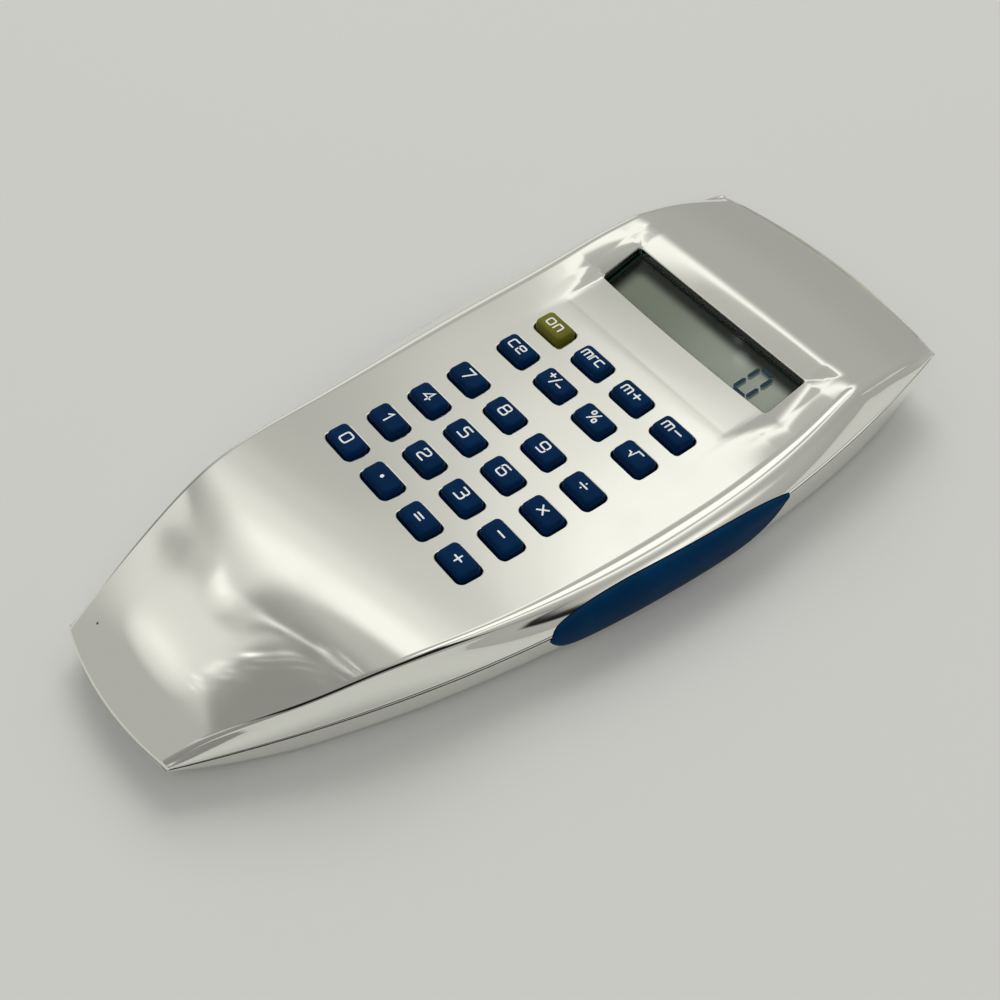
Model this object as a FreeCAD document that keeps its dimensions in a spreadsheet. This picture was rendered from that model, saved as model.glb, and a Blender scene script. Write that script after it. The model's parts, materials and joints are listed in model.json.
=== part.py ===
import FreeCAD, Part
import Sketcher
import math
import os

# Pocket calculator with a boat-shaped metal case, 24 keys and a tilted display window.
# Millimetres. +Z is up, +Y runs towards the display, +X to the right of the user.
# The origin is on the resting surface, under the middle of the case.

Vector = FreeCAD.Vector
doc = FreeCAD.newDocument("PocketCalculator")

DRIVING_SIZES = [
    # the case
    ("case_length", 146.0, "over the two bowed ends"),
    ("widest_half", 33.3, "half width of the parting line at its widest"),
    ("widest_at", 16.0, "where the case is widest, along Y"),
    ("side_sweep", 411.0, "how gently the parting line curves in plan"),
    ("parting_foot", 5.5, "height of the parting line at the foot corners"),
    ("parting_head", 10.1, "height of the parting line at the head corners"),
    ("corner_at", 70.5, "distance of the end corners from the middle"),
    ("foot_bow", 59.0, "plan radius of the foot end"),
    ("head_bow", 114.0, "plan radius of the head end"),
    ("floor_height", 0.4, "underside of the case above the table"),
    ("top_wall", 1.4, "wall of the upper shell"),
    ("base_wall", 1.6, "wall of the lower shell"),
    ("parting_gap", 0.1, "gap between the shells"),
    ("lip_thick", 0.6, "locating lip of the lower shell"),
    # the key field
    ("deck_low", 11.64, "lowest height of the key deck"),
    ("deck_sweep", 693.0, "how gently the key deck is dished along Y"),
    ("column_pitch", 10.0, "key spacing across"),
    ("row_pitch", 7.94, "key spacing along"),
    ("row_gap", 10.29, "spacing over the gap between rows four and five"),
    ("first_row", -20.63, "Y of the row nearest the foot"),
    ("field_shift", -0.4, "key field off the centre line"),
    ("hole_wide", 7.0, "key hole across"),
    ("hole_deep", 4.6, "key hole along"),
    ("hole_round", 1.0, "corner radius of a key hole"),
    ("cap_wide", 6.6, "key cap across"),
    ("cap_deep", 4.2, "key cap along"),
    ("cap_round", 0.8, "corner radius of a key cap"),
    ("cap_bevel", 0.5, "bevel round the top of a key cap"),
    ("cap_tall", 3.1, "key cap above its flange"),
    ("flange_wide", 8.0, "key flange across"),
    ("flange_deep", 5.6, "key flange along"),
    ("flange_thick", 0.7, "key flange thickness"),
    ("flange_drop", 2.4, "flange underside below the key deck"),
    ("stem_radius", 1.2, "key stem"),
    ("dome_top", 8.8, "height of the rubber domes"),
    ("mat_top", 7.5, "top of the rubber mat's sheet"),
    # the circuit board
    ("board_top", 7.0, "top of the circuit board"),
    ("board_thick", 1.0, "circuit board"),
    ("board_wide", 40.0, "circuit board across"),
    ("board_long", 82.0, "circuit board along"),
    ("board_middle", 10.0, "Y of the board's middle"),
    # the display
    ("window_at", 40.23, "Y of the window's middle"),
    ("window_height", 13.81, "height of the window's middle"),
    ("window_tilt", 17.6, "tilt of the window towards the user, degrees"),
    ("window_wide", 41.0, "window across"),
    ("window_deep", 8.8, "window along its slope"),
    ("rim_thick", 1.2, "case wall round the window"),
    ("lens_wide", 44.5, "lens across"),
    ("lens_deep", 11.0, "lens along the slope"),
    ("lens_thick", 0.8, "lens"),
    ("gasket_thick", 0.15, "adhesive frame between lens and case"),
    ("panel_wide", 42.0, "display panel across"),
    ("panel_deep", 12.0, "display panel along the slope"),
    ("panel_thick", 1.4, "display panel"),
    ("panel_depth", 3.75, "underside of the panel below the window plane"),
    ("frame_wide", 45.0, "panel frame across"),
    ("frame_deep", 13.4, "panel frame along the slope"),
    # the battery
    ("cell_at", 34.0, "Y of the coin cell's axis"),
    ("cell_radius", 10.0, "coin cell, 20 mm"),
    ("cell_thick", 3.2, "coin cell, 3.2 mm"),
    ("cell_low", 1.75, "underside of the coin cell"),
    ("cover_radius", 12.0, "battery cover"),
    ("cover_thick", 1.2, "battery cover"),
    ("cover_clear", 0.15, "gap round the battery cover"),
    # fasteners and feet
    ("post_across", 22.8, "case screw posts, from the middle"),
    ("post_foot", -24.0, "Y of the foot pair of case screws"),
    ("post_head", 24.0, "Y of the head pair of case screws"),
    ("rivet_across", 14.0, "board screws, from the middle"),
    ("rivet_foot", -28.5, "Y of the foot pair of board screws"),
    ("rivet_head", 27.6, "Y of the head pair of board screws"),
    ("foot_radius", 3.4, "rubber foot"),
    ("foot_thick", 0.8, "rubber foot"),
    ("grip_proud", 0.5, "how far a grip stands out of the case"),
    ("grip_depth", 1.0, "depth of a grip's pocket"),
]

sheet = doc.addObject("Spreadsheet::Sheet", "Sizes")
for row, (alias, value, note) in enumerate(DRIVING_SIZES, start=1):
    sheet.set(f"A{row}", note)
    sheet.set(f"B{row}", str(value))
    sheet.setAlias(f"B{row}", alias)
doc.recompute()


def size(alias):
    return float(sheet.get(alias))


# ---------------------------------------------------------------- shape of the case

# Along Y: height of the crease between top and side, how far the crease lies inside the
# parting line, crown of the top across X, height of the underside, and how far the flat
# underside lies inside the parting line.
STATIONS = [
    (-76.0, 4.6, 0.4, 0.6, 5.0, 1.0),
    (-70.5, 6.9, 0.8, 1.0, 4.3, 1.4),
    (-66.0, 8.7, 1.3, 1.4, 2.6, 1.9),
    (-60.0, 10.3, 1.4, 1.2, 1.1, 2.3),
    (-50.0, 12.1, 1.2, 0.7, 0.4, 2.4),
    (-42.0, 13.4, 1.4, 0.2, 0.4, 2.8),
    (-36.0, 13.6, 1.7, 0.0, 0.4, 3.1),
    (-20.0, 12.3, 2.7, 0.0, 0.4, 4.2),
    (0.0, 11.64, 3.6, 0.0, 0.4, 4.2),
    (15.0, 12.0, 3.8, 0.0, 0.4, 3.5),
    (30.0, 13.0, 3.6, 0.0, 0.4, 2.6),
    (37.0, 14.1, 3.4, 0.0, 0.4, 2.3),
    (43.0, 15.2, 3.3, 0.0, 0.4, 2.2),
    (49.5, 15.8, 3.2, 0.1, 0.4, 2.2),
    (54.0, 15.3, 2.8, 0.2, 0.6, 2.3),
    (60.0, 13.9, 2.3, 0.5, 1.7, 2.4),
    (67.0, 11.5, 1.7, 0.7, 5.2, 2.0),
    (76.0, 8.0, 1.0, 0.8, 10.0, 1.4),
]
CREASE_ROUND = 1.2
BILGE_BULGE = 0.2
END_REACH = 30.0
FAR = 120.0


def half_width(y):
    return size("widest_half") - (y - size("widest_at")) ** 2 / size("side_sweep")


def parting_height(y):
    rise = size("parting_head") - size("parting_foot")
    return size("parting_foot") + rise * (y + size("corner_at")) / (2 * size("corner_at"))


def deck_height(y):
    return size("deck_low") + y * y / size("deck_sweep")


def bezier(points):
    curve = Part.BezierCurve()
    curve.setPoles(points)
    return curve.toShape()


def section(station, skin):
    """Closed cross-section of the case, drawn skin deep inside its outer surface."""
    y, crease, inset, crown, under, bilge = station
    wide, split = half_width(y), parting_height(y)
    across, down = inset, split - crease
    length = math.hypot(across, down)
    across, down = across / length, down / length
    inward_x, inward_z = down, -across
    to_crease = -skin * (1 + inward_z) / down
    to_split = (split - crease - skin * inward_z) / down
    corner_x = wide - inset + skin * inward_x + to_crease * across
    corner_z = crease - skin
    side_x = wide - inset + skin * inward_x + to_split * across
    reach = min(CREASE_ROUND, 0.45 * abs(split - crease)) if skin < 0.5 else 0.3
    turn = Vector(corner_x + reach * across, y, corner_z + reach * down)
    brow = Vector(corner_x - reach, y, corner_z)
    side = Vector(side_x, y, split)
    belly = Vector(side_x + BILGE_BULGE, y, under + skin + 0.4)
    keel = Vector(side_x - bilge, y, under + skin)
    corner = Vector(corner_x, y, corner_z)
    ridge = Vector(0, y, corner_z + 2 * crown)

    def other(point):
        return Vector(-point.x, point.y, point.z)

    edges = [
        bezier([keel, belly, side]),
        Part.makeLine(side, turn),
        bezier([turn, corner, brow]),
        bezier([brow, ridge, other(brow)]),
        bezier([other(brow), other(corner), other(turn)]),
        Part.makeLine(other(turn), other(side)),
        bezier([other(side), other(belly), other(keel)]),
        Part.makeLine(other(keel), keel),
    ]
    return Part.Wire(edges)


def hull(skin, first=None, last=None):
    """The case's outer form, or the form of its hollow with flat ends at first and last."""
    stations = STATIONS
    if first is not None:
        inner = [s for s in STATIONS if first + 2.0 < s[0] < last - 2.0]
        stations = [between(first)] + inner + [between(last)]
    return Part.makeLoft([section(s, skin) for s in stations], True, False)


def between(y):
    """A station at y, from the two beside it."""
    for low, high in zip(STATIONS, STATIONS[1:]):
        if low[0] <= y <= high[0]:
            part = (y - low[0]) / (high[0] - low[0])
            return tuple(a + part * (b - a) for a, b in zip(low, high))


def bowed_end(sign, radius):
    """What lies beyond the bowed end of the case, as a tool to cut it off."""
    tip = sign * size("case_length") / 2
    block = Part.makeBox(FAR, 2 * END_REACH, FAR)
    block.translate(Vector(-FAR / 2, tip - END_REACH, -FAR / 2))
    bow = Part.makeCylinder(radius, FAR, Vector(0, tip - sign * radius, -FAR / 2))
    return block.cut(bow)


def half_space(above):
    """A slab whose face is the tilted parting plane, half a gap clear of it."""
    slope = math.atan2(size("parting_head") - size("parting_foot"), 2 * size("corner_at"))
    slab = Part.makeBox(FAR, 2 * FAR, FAR)
    slab.translate(Vector(-FAR / 2, -FAR, 0 if above else -FAR))
    gap = size("parting_gap") / 2
    middle = parting_height(0) + (gap if above else -gap)
    slab.Placement = FreeCAD.Placement(
        Vector(-FAR / 2, -FAR * math.cos(slope), middle - FAR * math.sin(slope)),
        FreeCAD.Rotation(Vector(1, 0, 0), math.degrees(slope)),
    )
    if not above:
        slab.translate(Vector(0, FAR * math.sin(slope), -FAR * math.cos(slope)))
    return slab


def display_frame():
    """The window's own frame: X across, Y up the slope, Z out of the window."""
    return FreeCAD.Placement(
        Vector(0, size("window_at"), size("window_height")),
        FreeCAD.Rotation(Vector(1, 0, 0), size("window_tilt")),
    )


def display_block(wide, low, high, bottom, top):
    """A box in the window's frame."""
    box = Part.makeBox(2 * wide, high - low, top - bottom, Vector(-wide, low, bottom))
    box.Placement = display_frame().multiply(box.Placement)
    return box


def display_dish():
    """The shallow dish round the window, with sloping sides, as a cutting tool."""
    depth = 3.0
    wide, deep = size("window_wide") / 2, size("window_deep") / 2
    low = [(-wide, -deep), (wide, -deep), (wide, 8.0), (-wide, 8.0)]
    flare, near, far = 9.0, 8.2, 3.0
    high = [
        (-wide - flare, -deep - near),
        (wide + flare, -deep - near),
        (wide + flare, 8.0 + far),
        (-wide - flare, 8.0 + far),
    ]
    rings = []
    for corners, level in ((low, 0.0), (high, depth)):
        points = [Vector(x, y, level) for x, y in corners]
        rings.append(Part.makePolygon(points + points[:1]))
    dish = Part.makeLoft(rings, True, True)
    dish.Placement = display_frame()
    return dish


def rounded_prism(wide, deep, radius, low, high):
    """An upright bar with rounded corners, centred on the Z axis."""
    bar = Part.makeBox(wide, deep, high - low, Vector(-wide / 2, -deep / 2, low))
    upright = [e for e in bar.Edges if abs(e.tangentAt(e.FirstParameter).z) > 0.9]
    return bar.makeFillet(radius, upright)


def cylinder(radius, low, high, x=0.0, y=0.0):
    return Part.makeCylinder(radius, high - low, Vector(x, y, low))


def key_rows():
    rows = [size("first_row") + size("row_pitch") * k for k in range(4)]
    rows.append(rows[3] + size("row_gap"))
    rows.append(rows[4] + size("row_pitch"))
    return rows


def key_columns():
    return [size("field_shift") + size("column_pitch") * (k - 1.5) for k in range(4)]


def screw_places(across, foot, head):
    return [(side * size(across), size(end)) for end in (foot, head) for side in (-1, 1)]


CASE_SCREWS = ("post_across", "post_foot", "post_head")
BOARD_SCREWS = ("rivet_across", "rivet_foot", "rivet_head")
HOLLOW_ENDS = (-64.0, 64.0)

# ---------------------------------------------------------------- grips


def grip_prism(side):
    """A grip's outline in side view, an eye with its lower half deeper, run across the side."""
    above = [(-15.9, 0.0), (-13.5, 1.4), (-8.0, 2.0), (7.0, 1.7), (20.0, 1.2), (30.0, 0.2)]
    below = [(30.0, 0.2), (29.0, -1.2), (25.0, -4.0), (17.0, -6.4), (3.0, -6.2),
             (-10.0, -4.6), (-15.0, -2.0), (-15.9, 0.0)]
    edges = []
    for line in (above, below):
        curve = Part.BSplineCurve()
        curve.interpolate([Vector(side * 18.0, y, parting_height(y) + up) for y, up in line])
        edges.append(curve.toShape())
    face = Part.Face(Part.Wire(edges))
    return face.extrude(Vector(side * 20.0, 0, 0))


def grip(side, skin_out, skin_in):
    return grip_prism(side).common(skin_out).cut(skin_in)


# ---------------------------------------------------------------- shells


def upper_shell(outer, hollow, pocket):
    window = display_block(26.0, -9.0, 7.5, -size("rim_thick"), 4.0)
    shell = outer.cut(hollow.cut(window)).common(half_space(True))
    shell = shell.cut(display_dish())
    wide, deep = size("window_wide") / 2, size("window_deep") / 2
    shell = shell.cut(display_block(wide, -deep, deep, -6.0, 6.0))
    shell = shell.cut(display_block(wide + 1.9, -deep - 1.2, deep + 1.2, -4.0, -size("rim_thick")))
    for x in key_columns():
        for y in key_rows():
            hole = rounded_prism(size("hole_wide"), size("hole_deep"), size("hole_round"), 8, 20)
            hole.translate(Vector(x, y, 0))
            shell = shell.cut(hole)
    for x, y in screw_places(*CASE_SCREWS):
        shell = shell.fuse(cylinder(2.0, 5.0, deck_height(y) - 0.6, x, y))
        shell = shell.cut(cylinder(0.8, 4.0, 9.5, x, y))
    for x, y in screw_places(*BOARD_SCREWS):
        shell = shell.fuse(cylinder(1.5, size("board_top"), deck_height(y) - 0.6, x, y))
        shell = shell.cut(cylinder(0.6, 6.0, 10.0, x, y))
    return shell.cut(pocket).removeSplitter()


def lip():
    """The ring that locates the upper shell, just inside its wall."""
    outside, inside = size("top_wall") + 0.1, size("top_wall") + 0.1 + size("lip_thick")
    ring = hull(outside, *HOLLOW_ENDS).cut(hull(inside, HOLLOW_ENDS[0] + 1, HOLLOW_ENDS[1] - 1))
    band = half_space(True).copy()
    band.translate(Vector(0, 0, -1.2))
    ceiling = half_space(True).copy()
    ceiling.translate(Vector(0, 0, 0.9))
    return ring.common(band).cut(ceiling)


def lug_sector(inner, outer, low, high, angle, spread):
    """A sector of a ring round the cell's axis."""
    ring = cylinder(outer, low, high).cut(cylinder(inner, low - 1, high + 1))
    across, aside = END_REACH * math.cos(spread / 2), END_REACH * math.sin(spread / 2)
    wedge = Part.makePolygon([
        Vector(0, 0, low - 1),
        Vector(across, -aside, low - 1),
        Vector(across, aside, low - 1),
        Vector(0, 0, low - 1),
    ])
    sector = ring.common(Part.Face(wedge).extrude(Vector(0, 0, high - low + 2)))
    sector.rotate(Vector(0, 0, 0), Vector(0, 0, 1), angle)
    return sector


LUG_ANGLES = (30.0, 150.0, 270.0)
LUG_SPREAD = math.radians(24.0)
UNLOCK_TURN = 45.0


def lower_shell(outer, hollow, pocket):
    shell = outer.cut(hollow).common(half_space(False)).fuse(lip())
    for x, y in screw_places(*CASE_SCREWS):
        shell = shell.fuse(cylinder(3.0, 0.8, 4.9, x, y))
        shell = shell.cut(cylinder(2.0, 0.0, 2.2, x, y)).cut(cylinder(1.1, 0.0, 6.0, x, y))
    opening = cylinder(size("cover_radius") + size("cover_clear"), 0.0, 2.5)
    for angle in LUG_ANGLES:
        slot = lug_sector(11.0, 13.5, 0.0, 2.5, angle + UNLOCK_TURN, LUG_SPREAD * 1.15)
        opening = opening.fuse(slot)
    opening.translate(Vector(0, size("cell_at"), 0))
    shell = shell.cut(opening)
    top = size("foot_thick")
    for x, y in FOOT_PLACES:
        shell = shell.cut(cylinder(size("foot_radius") + 0.1, 0.0, top, x, y))
    return shell.cut(pocket).removeSplitter()


FOOT_PLACES = [(-15.0, -44.0), (15.0, -44.0), (-21.0, 47.0), (21.0, 47.0)]

# ---------------------------------------------------------------- document helpers

subparts = []


def feature(label, shape, place=None):
    """A sub-part whose shape comes from Part's own functions."""
    part = doc.addObject("Part::Feature", label)
    part.Label = label
    part.Shape = shape
    if place is not None:
        part.Placement = place
    subparts.append(part)
    return part


def new_body(label, place=None):
    body = doc.addObject("PartDesign::Body", label)
    body.Label = label
    if place is not None:
        body.Placement = place
    subparts.append(body)
    return body


def sketch_on_floor(body, name, lift=None):
    """A sketch on the body's XY plane, raised by an expression if one is given."""
    plane = next(f for f in body.Origin.OriginFeatures if f.Role == "XY_Plane")
    sketch = body.newObject("Sketcher::SketchObject", name)
    sketch.AttachmentSupport = [(plane, "")]
    sketch.MapMode = "FlatFace"
    if lift:
        sketch.setExpression("AttachmentOffset.Base.z", lift)
    return sketch


def draw_rectangle(sketch, wide, deep):
    """A rectangle centred on the sketch's origin, its sides bound to two expressions."""
    first = sketch.GeometryCount
    corners = [Vector(-1, -1, 0), Vector(1, -1, 0), Vector(1, 1, 0), Vector(-1, 1, 0)]
    for k in range(4):
        sketch.addGeometry(Part.LineSegment(corners[k], corners[(k + 1) % 4]), False)
    for k in range(4):
        follows = first + (k + 1) % 4
        sketch.addConstraint(Sketcher.Constraint("Coincident", first + k, 2, follows, 1))
    for k, direction in enumerate(("Horizontal", "Vertical", "Horizontal", "Vertical")):
        sketch.addConstraint(Sketcher.Constraint(direction, first + k))
    sketch.addConstraint(Sketcher.Constraint("Symmetric", first, 1, first + 1, 2, -1, 1))
    for kind, line, expression in (("DistanceX", first, wide), ("DistanceY", first + 1, deep)):
        number = sketch.addConstraint(Sketcher.Constraint(kind, line, 1, line, 2, 2.0))
        sketch.setExpression(f"Constraints[{number}]", expression)


def draw_circle(sketch, radius, x=0.0, y=0.0):
    centre = Vector(x, y, 0)
    number = sketch.addGeometry(Part.Circle(centre, Vector(0, 0, 1), 1.0), False)
    if x or y:
        sketch.addConstraint(Sketcher.Constraint("DistanceX", -1, 1, number, 3, x))
        sketch.addConstraint(Sketcher.Constraint("DistanceY", -1, 1, number, 3, y))
    else:
        sketch.addConstraint(Sketcher.Constraint("Coincident", number, 3, -1, 1))
    ring = sketch.addConstraint(Sketcher.Constraint("Radius", number, 1.0))
    sketch.setExpression(f"Constraints[{ring}]", radius)


def pad(body, sketch, name, length, reversed_way=False):
    made = body.newObject("PartDesign::Pad", name)
    made.Profile = sketch
    made.Reversed = reversed_way
    made.setExpression("Length", length)
    return made


def dress(body, kind, name, base, edges, property_name, expression):
    """A fillet or a chamfer on the base feature's edges that pass the test."""
    doc.recompute()
    chosen = [f"Edge{k}" for k, e in enumerate(base.Shape.Edges, start=1) if edges(e)]
    made = body.newObject("PartDesign::" + kind, name)
    made.Base = (base, chosen)
    made.setExpression(property_name, expression)
    return made


def plate(label, wide, deep, thick, place):
    """A plain rectangular plate."""
    body = new_body(label, place)
    sketch = sketch_on_floor(body, label + "_outline")
    draw_rectangle(sketch, wide, deep)
    pad(body, sketch, label + "_pad", thick)
    return body


def frame_plate(label, outer, inner, thick, place):
    """A rectangular frame: outer and inner are pairs of expressions."""
    body = new_body(label, place)
    sketch = sketch_on_floor(body, label + "_outline")
    draw_rectangle(sketch, *outer)
    draw_rectangle(sketch, *inner)
    pad(body, sketch, label + "_pad", thick)
    return body


def group(label, pieces):
    """Identical loose pieces as one node."""
    part = doc.addObject("Part::Compound", label)
    part.Label = label
    part.Links = pieces
    subparts.append(part)
    return part


def bar(name, radius, length, x, y, z):
    """A cylinder whose radius and length are expressions or numbers."""
    made = doc.addObject("Part::Cylinder", name)
    for prop, value in (("Radius", radius), ("Height", length)):
        if isinstance(value, str):
            made.setExpression(prop, value)
        else:
            setattr(made, prop, value)
    made.Placement.Base = Vector(x, y, z)
    return made


def block(name, wide, deep, tall, x, y, z):
    """A box centred on x and y, standing on z."""
    made = doc.addObject("Part::Box", name)
    made.Length, made.Width, made.Height = wide, deep, tall
    made.Placement.Base = Vector(x - wide / 2, y - deep / 2, z)
    return made


def at(x, y, z):
    return FreeCAD.Placement(Vector(x, y, z), FreeCAD.Rotation())


def in_window(x, y, z):
    return display_frame().multiply(at(x, y, z))


# ---------------------------------------------------------------- keys

KEY_NAMES = [
    ["key_0", "key_point", "key_equals", "key_plus"],
    ["key_1", "key_2", "key_3", "key_minus"],
    ["key_4", "key_5", "key_6", "key_times"],
    ["key_7", "key_8", "key_9", "key_divide"],
    ["key_ce", "key_sign", "key_percent", "key_root"],
    ["key_on", "key_mrc", "key_m_plus", "key_m_minus"],
]


def key(label, x, y):
    """A key: a flange under the deck, a bevelled cap through the hole, a stem on its dome."""
    base = deck_height(y) - size("flange_drop")
    body = new_body(label, at(x, y, base))
    flange = sketch_on_floor(body, label + "_flange_outline")
    draw_rectangle(flange, "Sizes.flange_wide", "Sizes.flange_deep")
    pad(body, flange, label + "_flange", "Sizes.flange_thick")
    stem = sketch_on_floor(body, label + "_stem_outline")
    draw_circle(stem, "Sizes.stem_radius")
    reach = f"Sizes.deck_low + {y:.3f}^2 / Sizes.deck_sweep - Sizes.flange_drop - Sizes.dome_top"
    pad(body, stem, label + "_stem", reach, reversed_way=True)
    cap = sketch_on_floor(body, label + "_cap_outline", "Sizes.flange_thick")
    draw_rectangle(cap, "Sizes.cap_wide", "Sizes.cap_deep")
    tall = pad(body, cap, label + "_cap", "Sizes.cap_tall")
    floor = size("flange_thick")

    def upright(edge):
        box = edge.BoundBox
        return box.ZLength > 1.0 and box.ZMin > floor - 0.01

    rounded = dress(body, "Fillet", label + "_corners", tall, upright, "Radius", "Sizes.cap_round")
    top = floor + size("cap_tall")

    def rim(edge):
        return edge.BoundBox.ZMin > top - 0.01

    dress(body, "Chamfer", label + "_bevel", rounded, rim, "Size", "Sizes.cap_bevel")


# ---------------------------------------------------------------- build

outer = hull(0.0).cut(bowed_end(-1, size("foot_bow"))).cut(bowed_end(1, size("head_bow")))
pocket_floor = hull(size("grip_depth"))
pockets = [grip_prism(side).cut(pocket_floor) for side in (-1, 1)]
pocket = pockets[0].fuse(pockets[1])
feature("top_shell", upper_shell(outer, hull(size("top_wall"), *HOLLOW_ENDS), pocket))
feature("bottom_shell", lower_shell(outer, hull(size("base_wall"), *HOLLOW_ENDS), pocket))
proud = hull(-size("grip_proud"))
feature("grip_left", grip(-1, proud, pocket_floor))
feature("grip_right", grip(1, proud, pocket_floor))

for names, y in zip(KEY_NAMES, key_rows()):
    for label, x in zip(names, key_columns()):
        key(label, x, y)


def key_mat():
    """One rubber sheet with a hollow dome under each key."""
    low, high = size("board_top"), size("mat_top")
    mat = Part.makeBox(39.0, 50.0, high - low, Vector(-19.5, -25.0, low))
    for x in key_columns():
        for y in key_rows():
            tall = size("dome_top") - high
            dome = Part.makeCone(2.3, 1.4, tall, Vector(x, y, high))
            well = Part.makeCone(1.8, 0.9, tall, Vector(x, y, low - 0.4))
            mat = mat.fuse(dome).cut(well)
    return mat


feature("key_mat", key_mat())

# the display stack, from the window inwards
rim, gasket, lens = size("rim_thick"), size("gasket_thick"), size("lens_thick")
frame_plate(
    "lens_gasket",
    ("Sizes.lens_wide", "Sizes.lens_deep"),
    ("Sizes.window_wide + 0.6", "Sizes.window_deep + 0.6"),
    "Sizes.gasket_thick",
    in_window(0, 0, -rim - gasket),
)
plate("display_lens", "Sizes.lens_wide", "Sizes.lens_deep", "Sizes.lens_thick",
      in_window(0, 0, -rim - gasket - lens))
panel_floor = -size("panel_depth")
plate("lcd_glass", "Sizes.panel_wide", "Sizes.panel_deep", "Sizes.panel_thick",
      in_window(0, 0, panel_floor))
plate("lcd_reflector", "Sizes.panel_wide", "Sizes.panel_deep - 1.6", "0.1",
      in_window(0, 0.8, panel_floor - 0.15))
frame_plate(
    "lcd_frame",
    ("Sizes.frame_wide", "Sizes.frame_deep"),
    ("Sizes.panel_wide + 0.2", "Sizes.panel_deep + 0.2"),
    "Sizes.panel_thick",
    in_window(0, 0, panel_floor),
)
plate("lcd_backing", "Sizes.frame_wide", "Sizes.frame_deep - 2.0", "0.4",
      in_window(0, 1.0, panel_floor - 0.6))
feature("connector_strip", block("strip", 38.0, 1.1, 1.25, 0, 36.2, size("board_top")).Shape)

# the circuit board and what is soldered to it
board = new_body("circuit_board", at(0, size("board_middle"), size("board_top")))
outline = sketch_on_floor(board, "board_outline")
draw_rectangle(outline, "Sizes.board_wide", "Sizes.board_long")
for x, y in screw_places(*BOARD_SCREWS):
    draw_circle(outline, "0.9", x, y - size("board_middle"))
pad(board, outline, "board_pad", "Sizes.board_thick", reversed_way=True)
under = size("board_top") - size("board_thick")
feature("controller_chip", Part.makeSphere(9.0, Vector(0, -4, under + 7.6)).common(
    Part.makeBox(20, 20, 2, Vector(-10, -14, under - 2))))
group("chip_resistors", [
    block(f"resistor_{k}", 2.0, 1.2, 0.5, -12.0 + 3.4 * k, -16.0, under - 0.5)
    for k in range(5)
])
group("board_capacitors", [
    bar(f"capacitor_{k}", 1.6, 2.4, 11.0, -14.0 + 5.0 * k, under - 2.4) for k in range(2)
])

# the battery, its tray, its contacts and its twist-off cover
cell_y, cell_low = size("cell_at"), size("cell_low")
cell = new_body("coin_cell", at(0, cell_y, cell_low))
disc = sketch_on_floor(cell, "cell_outline")
draw_circle(disc, "Sizes.cell_radius")
can = pad(cell, disc, "cell_can", "Sizes.cell_thick")
dress(cell, "Chamfer", "cell_edge", can,
      lambda e: e.BoundBox.ZMin > size("cell_thick") - 0.01, "Size", "0.5")

tray = cylinder(14.4, 2.1, 5.0).cut(cylinder(13.4, 1.0, 2.85))
tray = tray.cut(cylinder(size("cell_radius") + 0.25, 2.0, 6.0))
tray = tray.cut(Part.makeBox(3.0, 6.0, 3.0, Vector(9.0, -3.0, 2.85)))
tray = tray.cut(Part.makeBox(3.0, 6.0, 1.0, Vector(9.0, -3.0, 2.0)))
feature("battery_tray", tray, at(0, cell_y, 0))

clip = Part.makeBox(0.3, 5.0, 2.7, Vector(10.05, -2.5, 3.3))
clip = clip.fuse(Part.makeBox(2.6, 5.0, 0.3, Vector(10.05, -2.5, under - 0.3)))
feature("battery_contact_plus", clip, at(0, cell_y, 0))
leaf = Part.makeBox(3.0, 4.0, 0.3, Vector(-8.0, -2.0, under - 0.3))
slope = Part.Face(Part.makePolygon([
    Vector(-5.2, -2.0, under), Vector(-5.0, -2.0, under - 0.3), Vector(0.0, -2.0, 5.02),
    Vector(2.0, -2.0, 5.02), Vector(2.0, -2.0, 5.22), Vector(0.0, -2.0, 5.22),
    Vector(-5.2, -2.0, under),
])).extrude(Vector(0, 4.0, 0))
feature("battery_contact_minus", leaf.fuse(slope), at(0, cell_y, 0))

floor = size("floor_height")
cover = cylinder(size("cover_radius"), floor, floor + size("cover_thick"))
ring = cylinder(11.6, floor + 1.0, 2.75).cut(cylinder(10.5, 0.0, 3.0))
cover = cover.fuse(ring)
for angle in LUG_ANGLES:
    cover = cover.fuse(lug_sector(11.2, 13.1, 2.15, 2.75, angle, LUG_SPREAD))
cover = cover.cut(Part.makeBox(14.0, 1.8, 0.6, Vector(-7.0, -0.9, floor)))
feature("battery_cover", cover, at(0, cell_y, 0))

# fasteners and feet


def screws(label, places, head, neck, head_low, head_tall, tip):
    made = []
    for number, (x, y) in enumerate(places):
        cap = bar(f"{label}_head_{number}", head, head_tall, x, y, head_low)
        shank = bar(f"{label}_shank_{number}", neck, tip - head_low, x, y, head_low)
        screw = doc.addObject("Part::Fuse", f"{label}_{number}")
        screw.Base, screw.Tool = cap, shank
        slot = block(f"{label}_slot_{number}", 3 * head, 0.4, 0.4, x, y, head_low)
        slotted = doc.addObject("Part::Cut", f"{label}_slotted_{number}")
        slotted.Base, slotted.Tool = screw, slot
        made.append(slotted)
    group(label, made)


screws("case_screws", screw_places(*CASE_SCREWS), 1.8, 0.75, 1.0, 1.2, 9.0)
screws("board_screws", screw_places(*BOARD_SCREWS), 1.4, 0.55, under - 0.7, 0.7, 9.6)
group("rubber_feet", [
    bar(f"rubber_foot_{k}", "Sizes.foot_radius", "Sizes.foot_thick", x, y, 0)
    for k, (x, y) in enumerate(FOOT_PLACES)
])

# ---------------------------------------------------------------- check and write

doc.recompute()
faults = [o.Label for o in doc.Objects if "Invalid" in o.State or "Error" in o.State]
for part in subparts:
    if part.Shape.isNull() or not part.Shape.isValid() or not part.Shape.Solids:
        faults.append(part.Label)
if faults:
    raise SystemExit("these did not build: " + ", ".join(faults))

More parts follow.
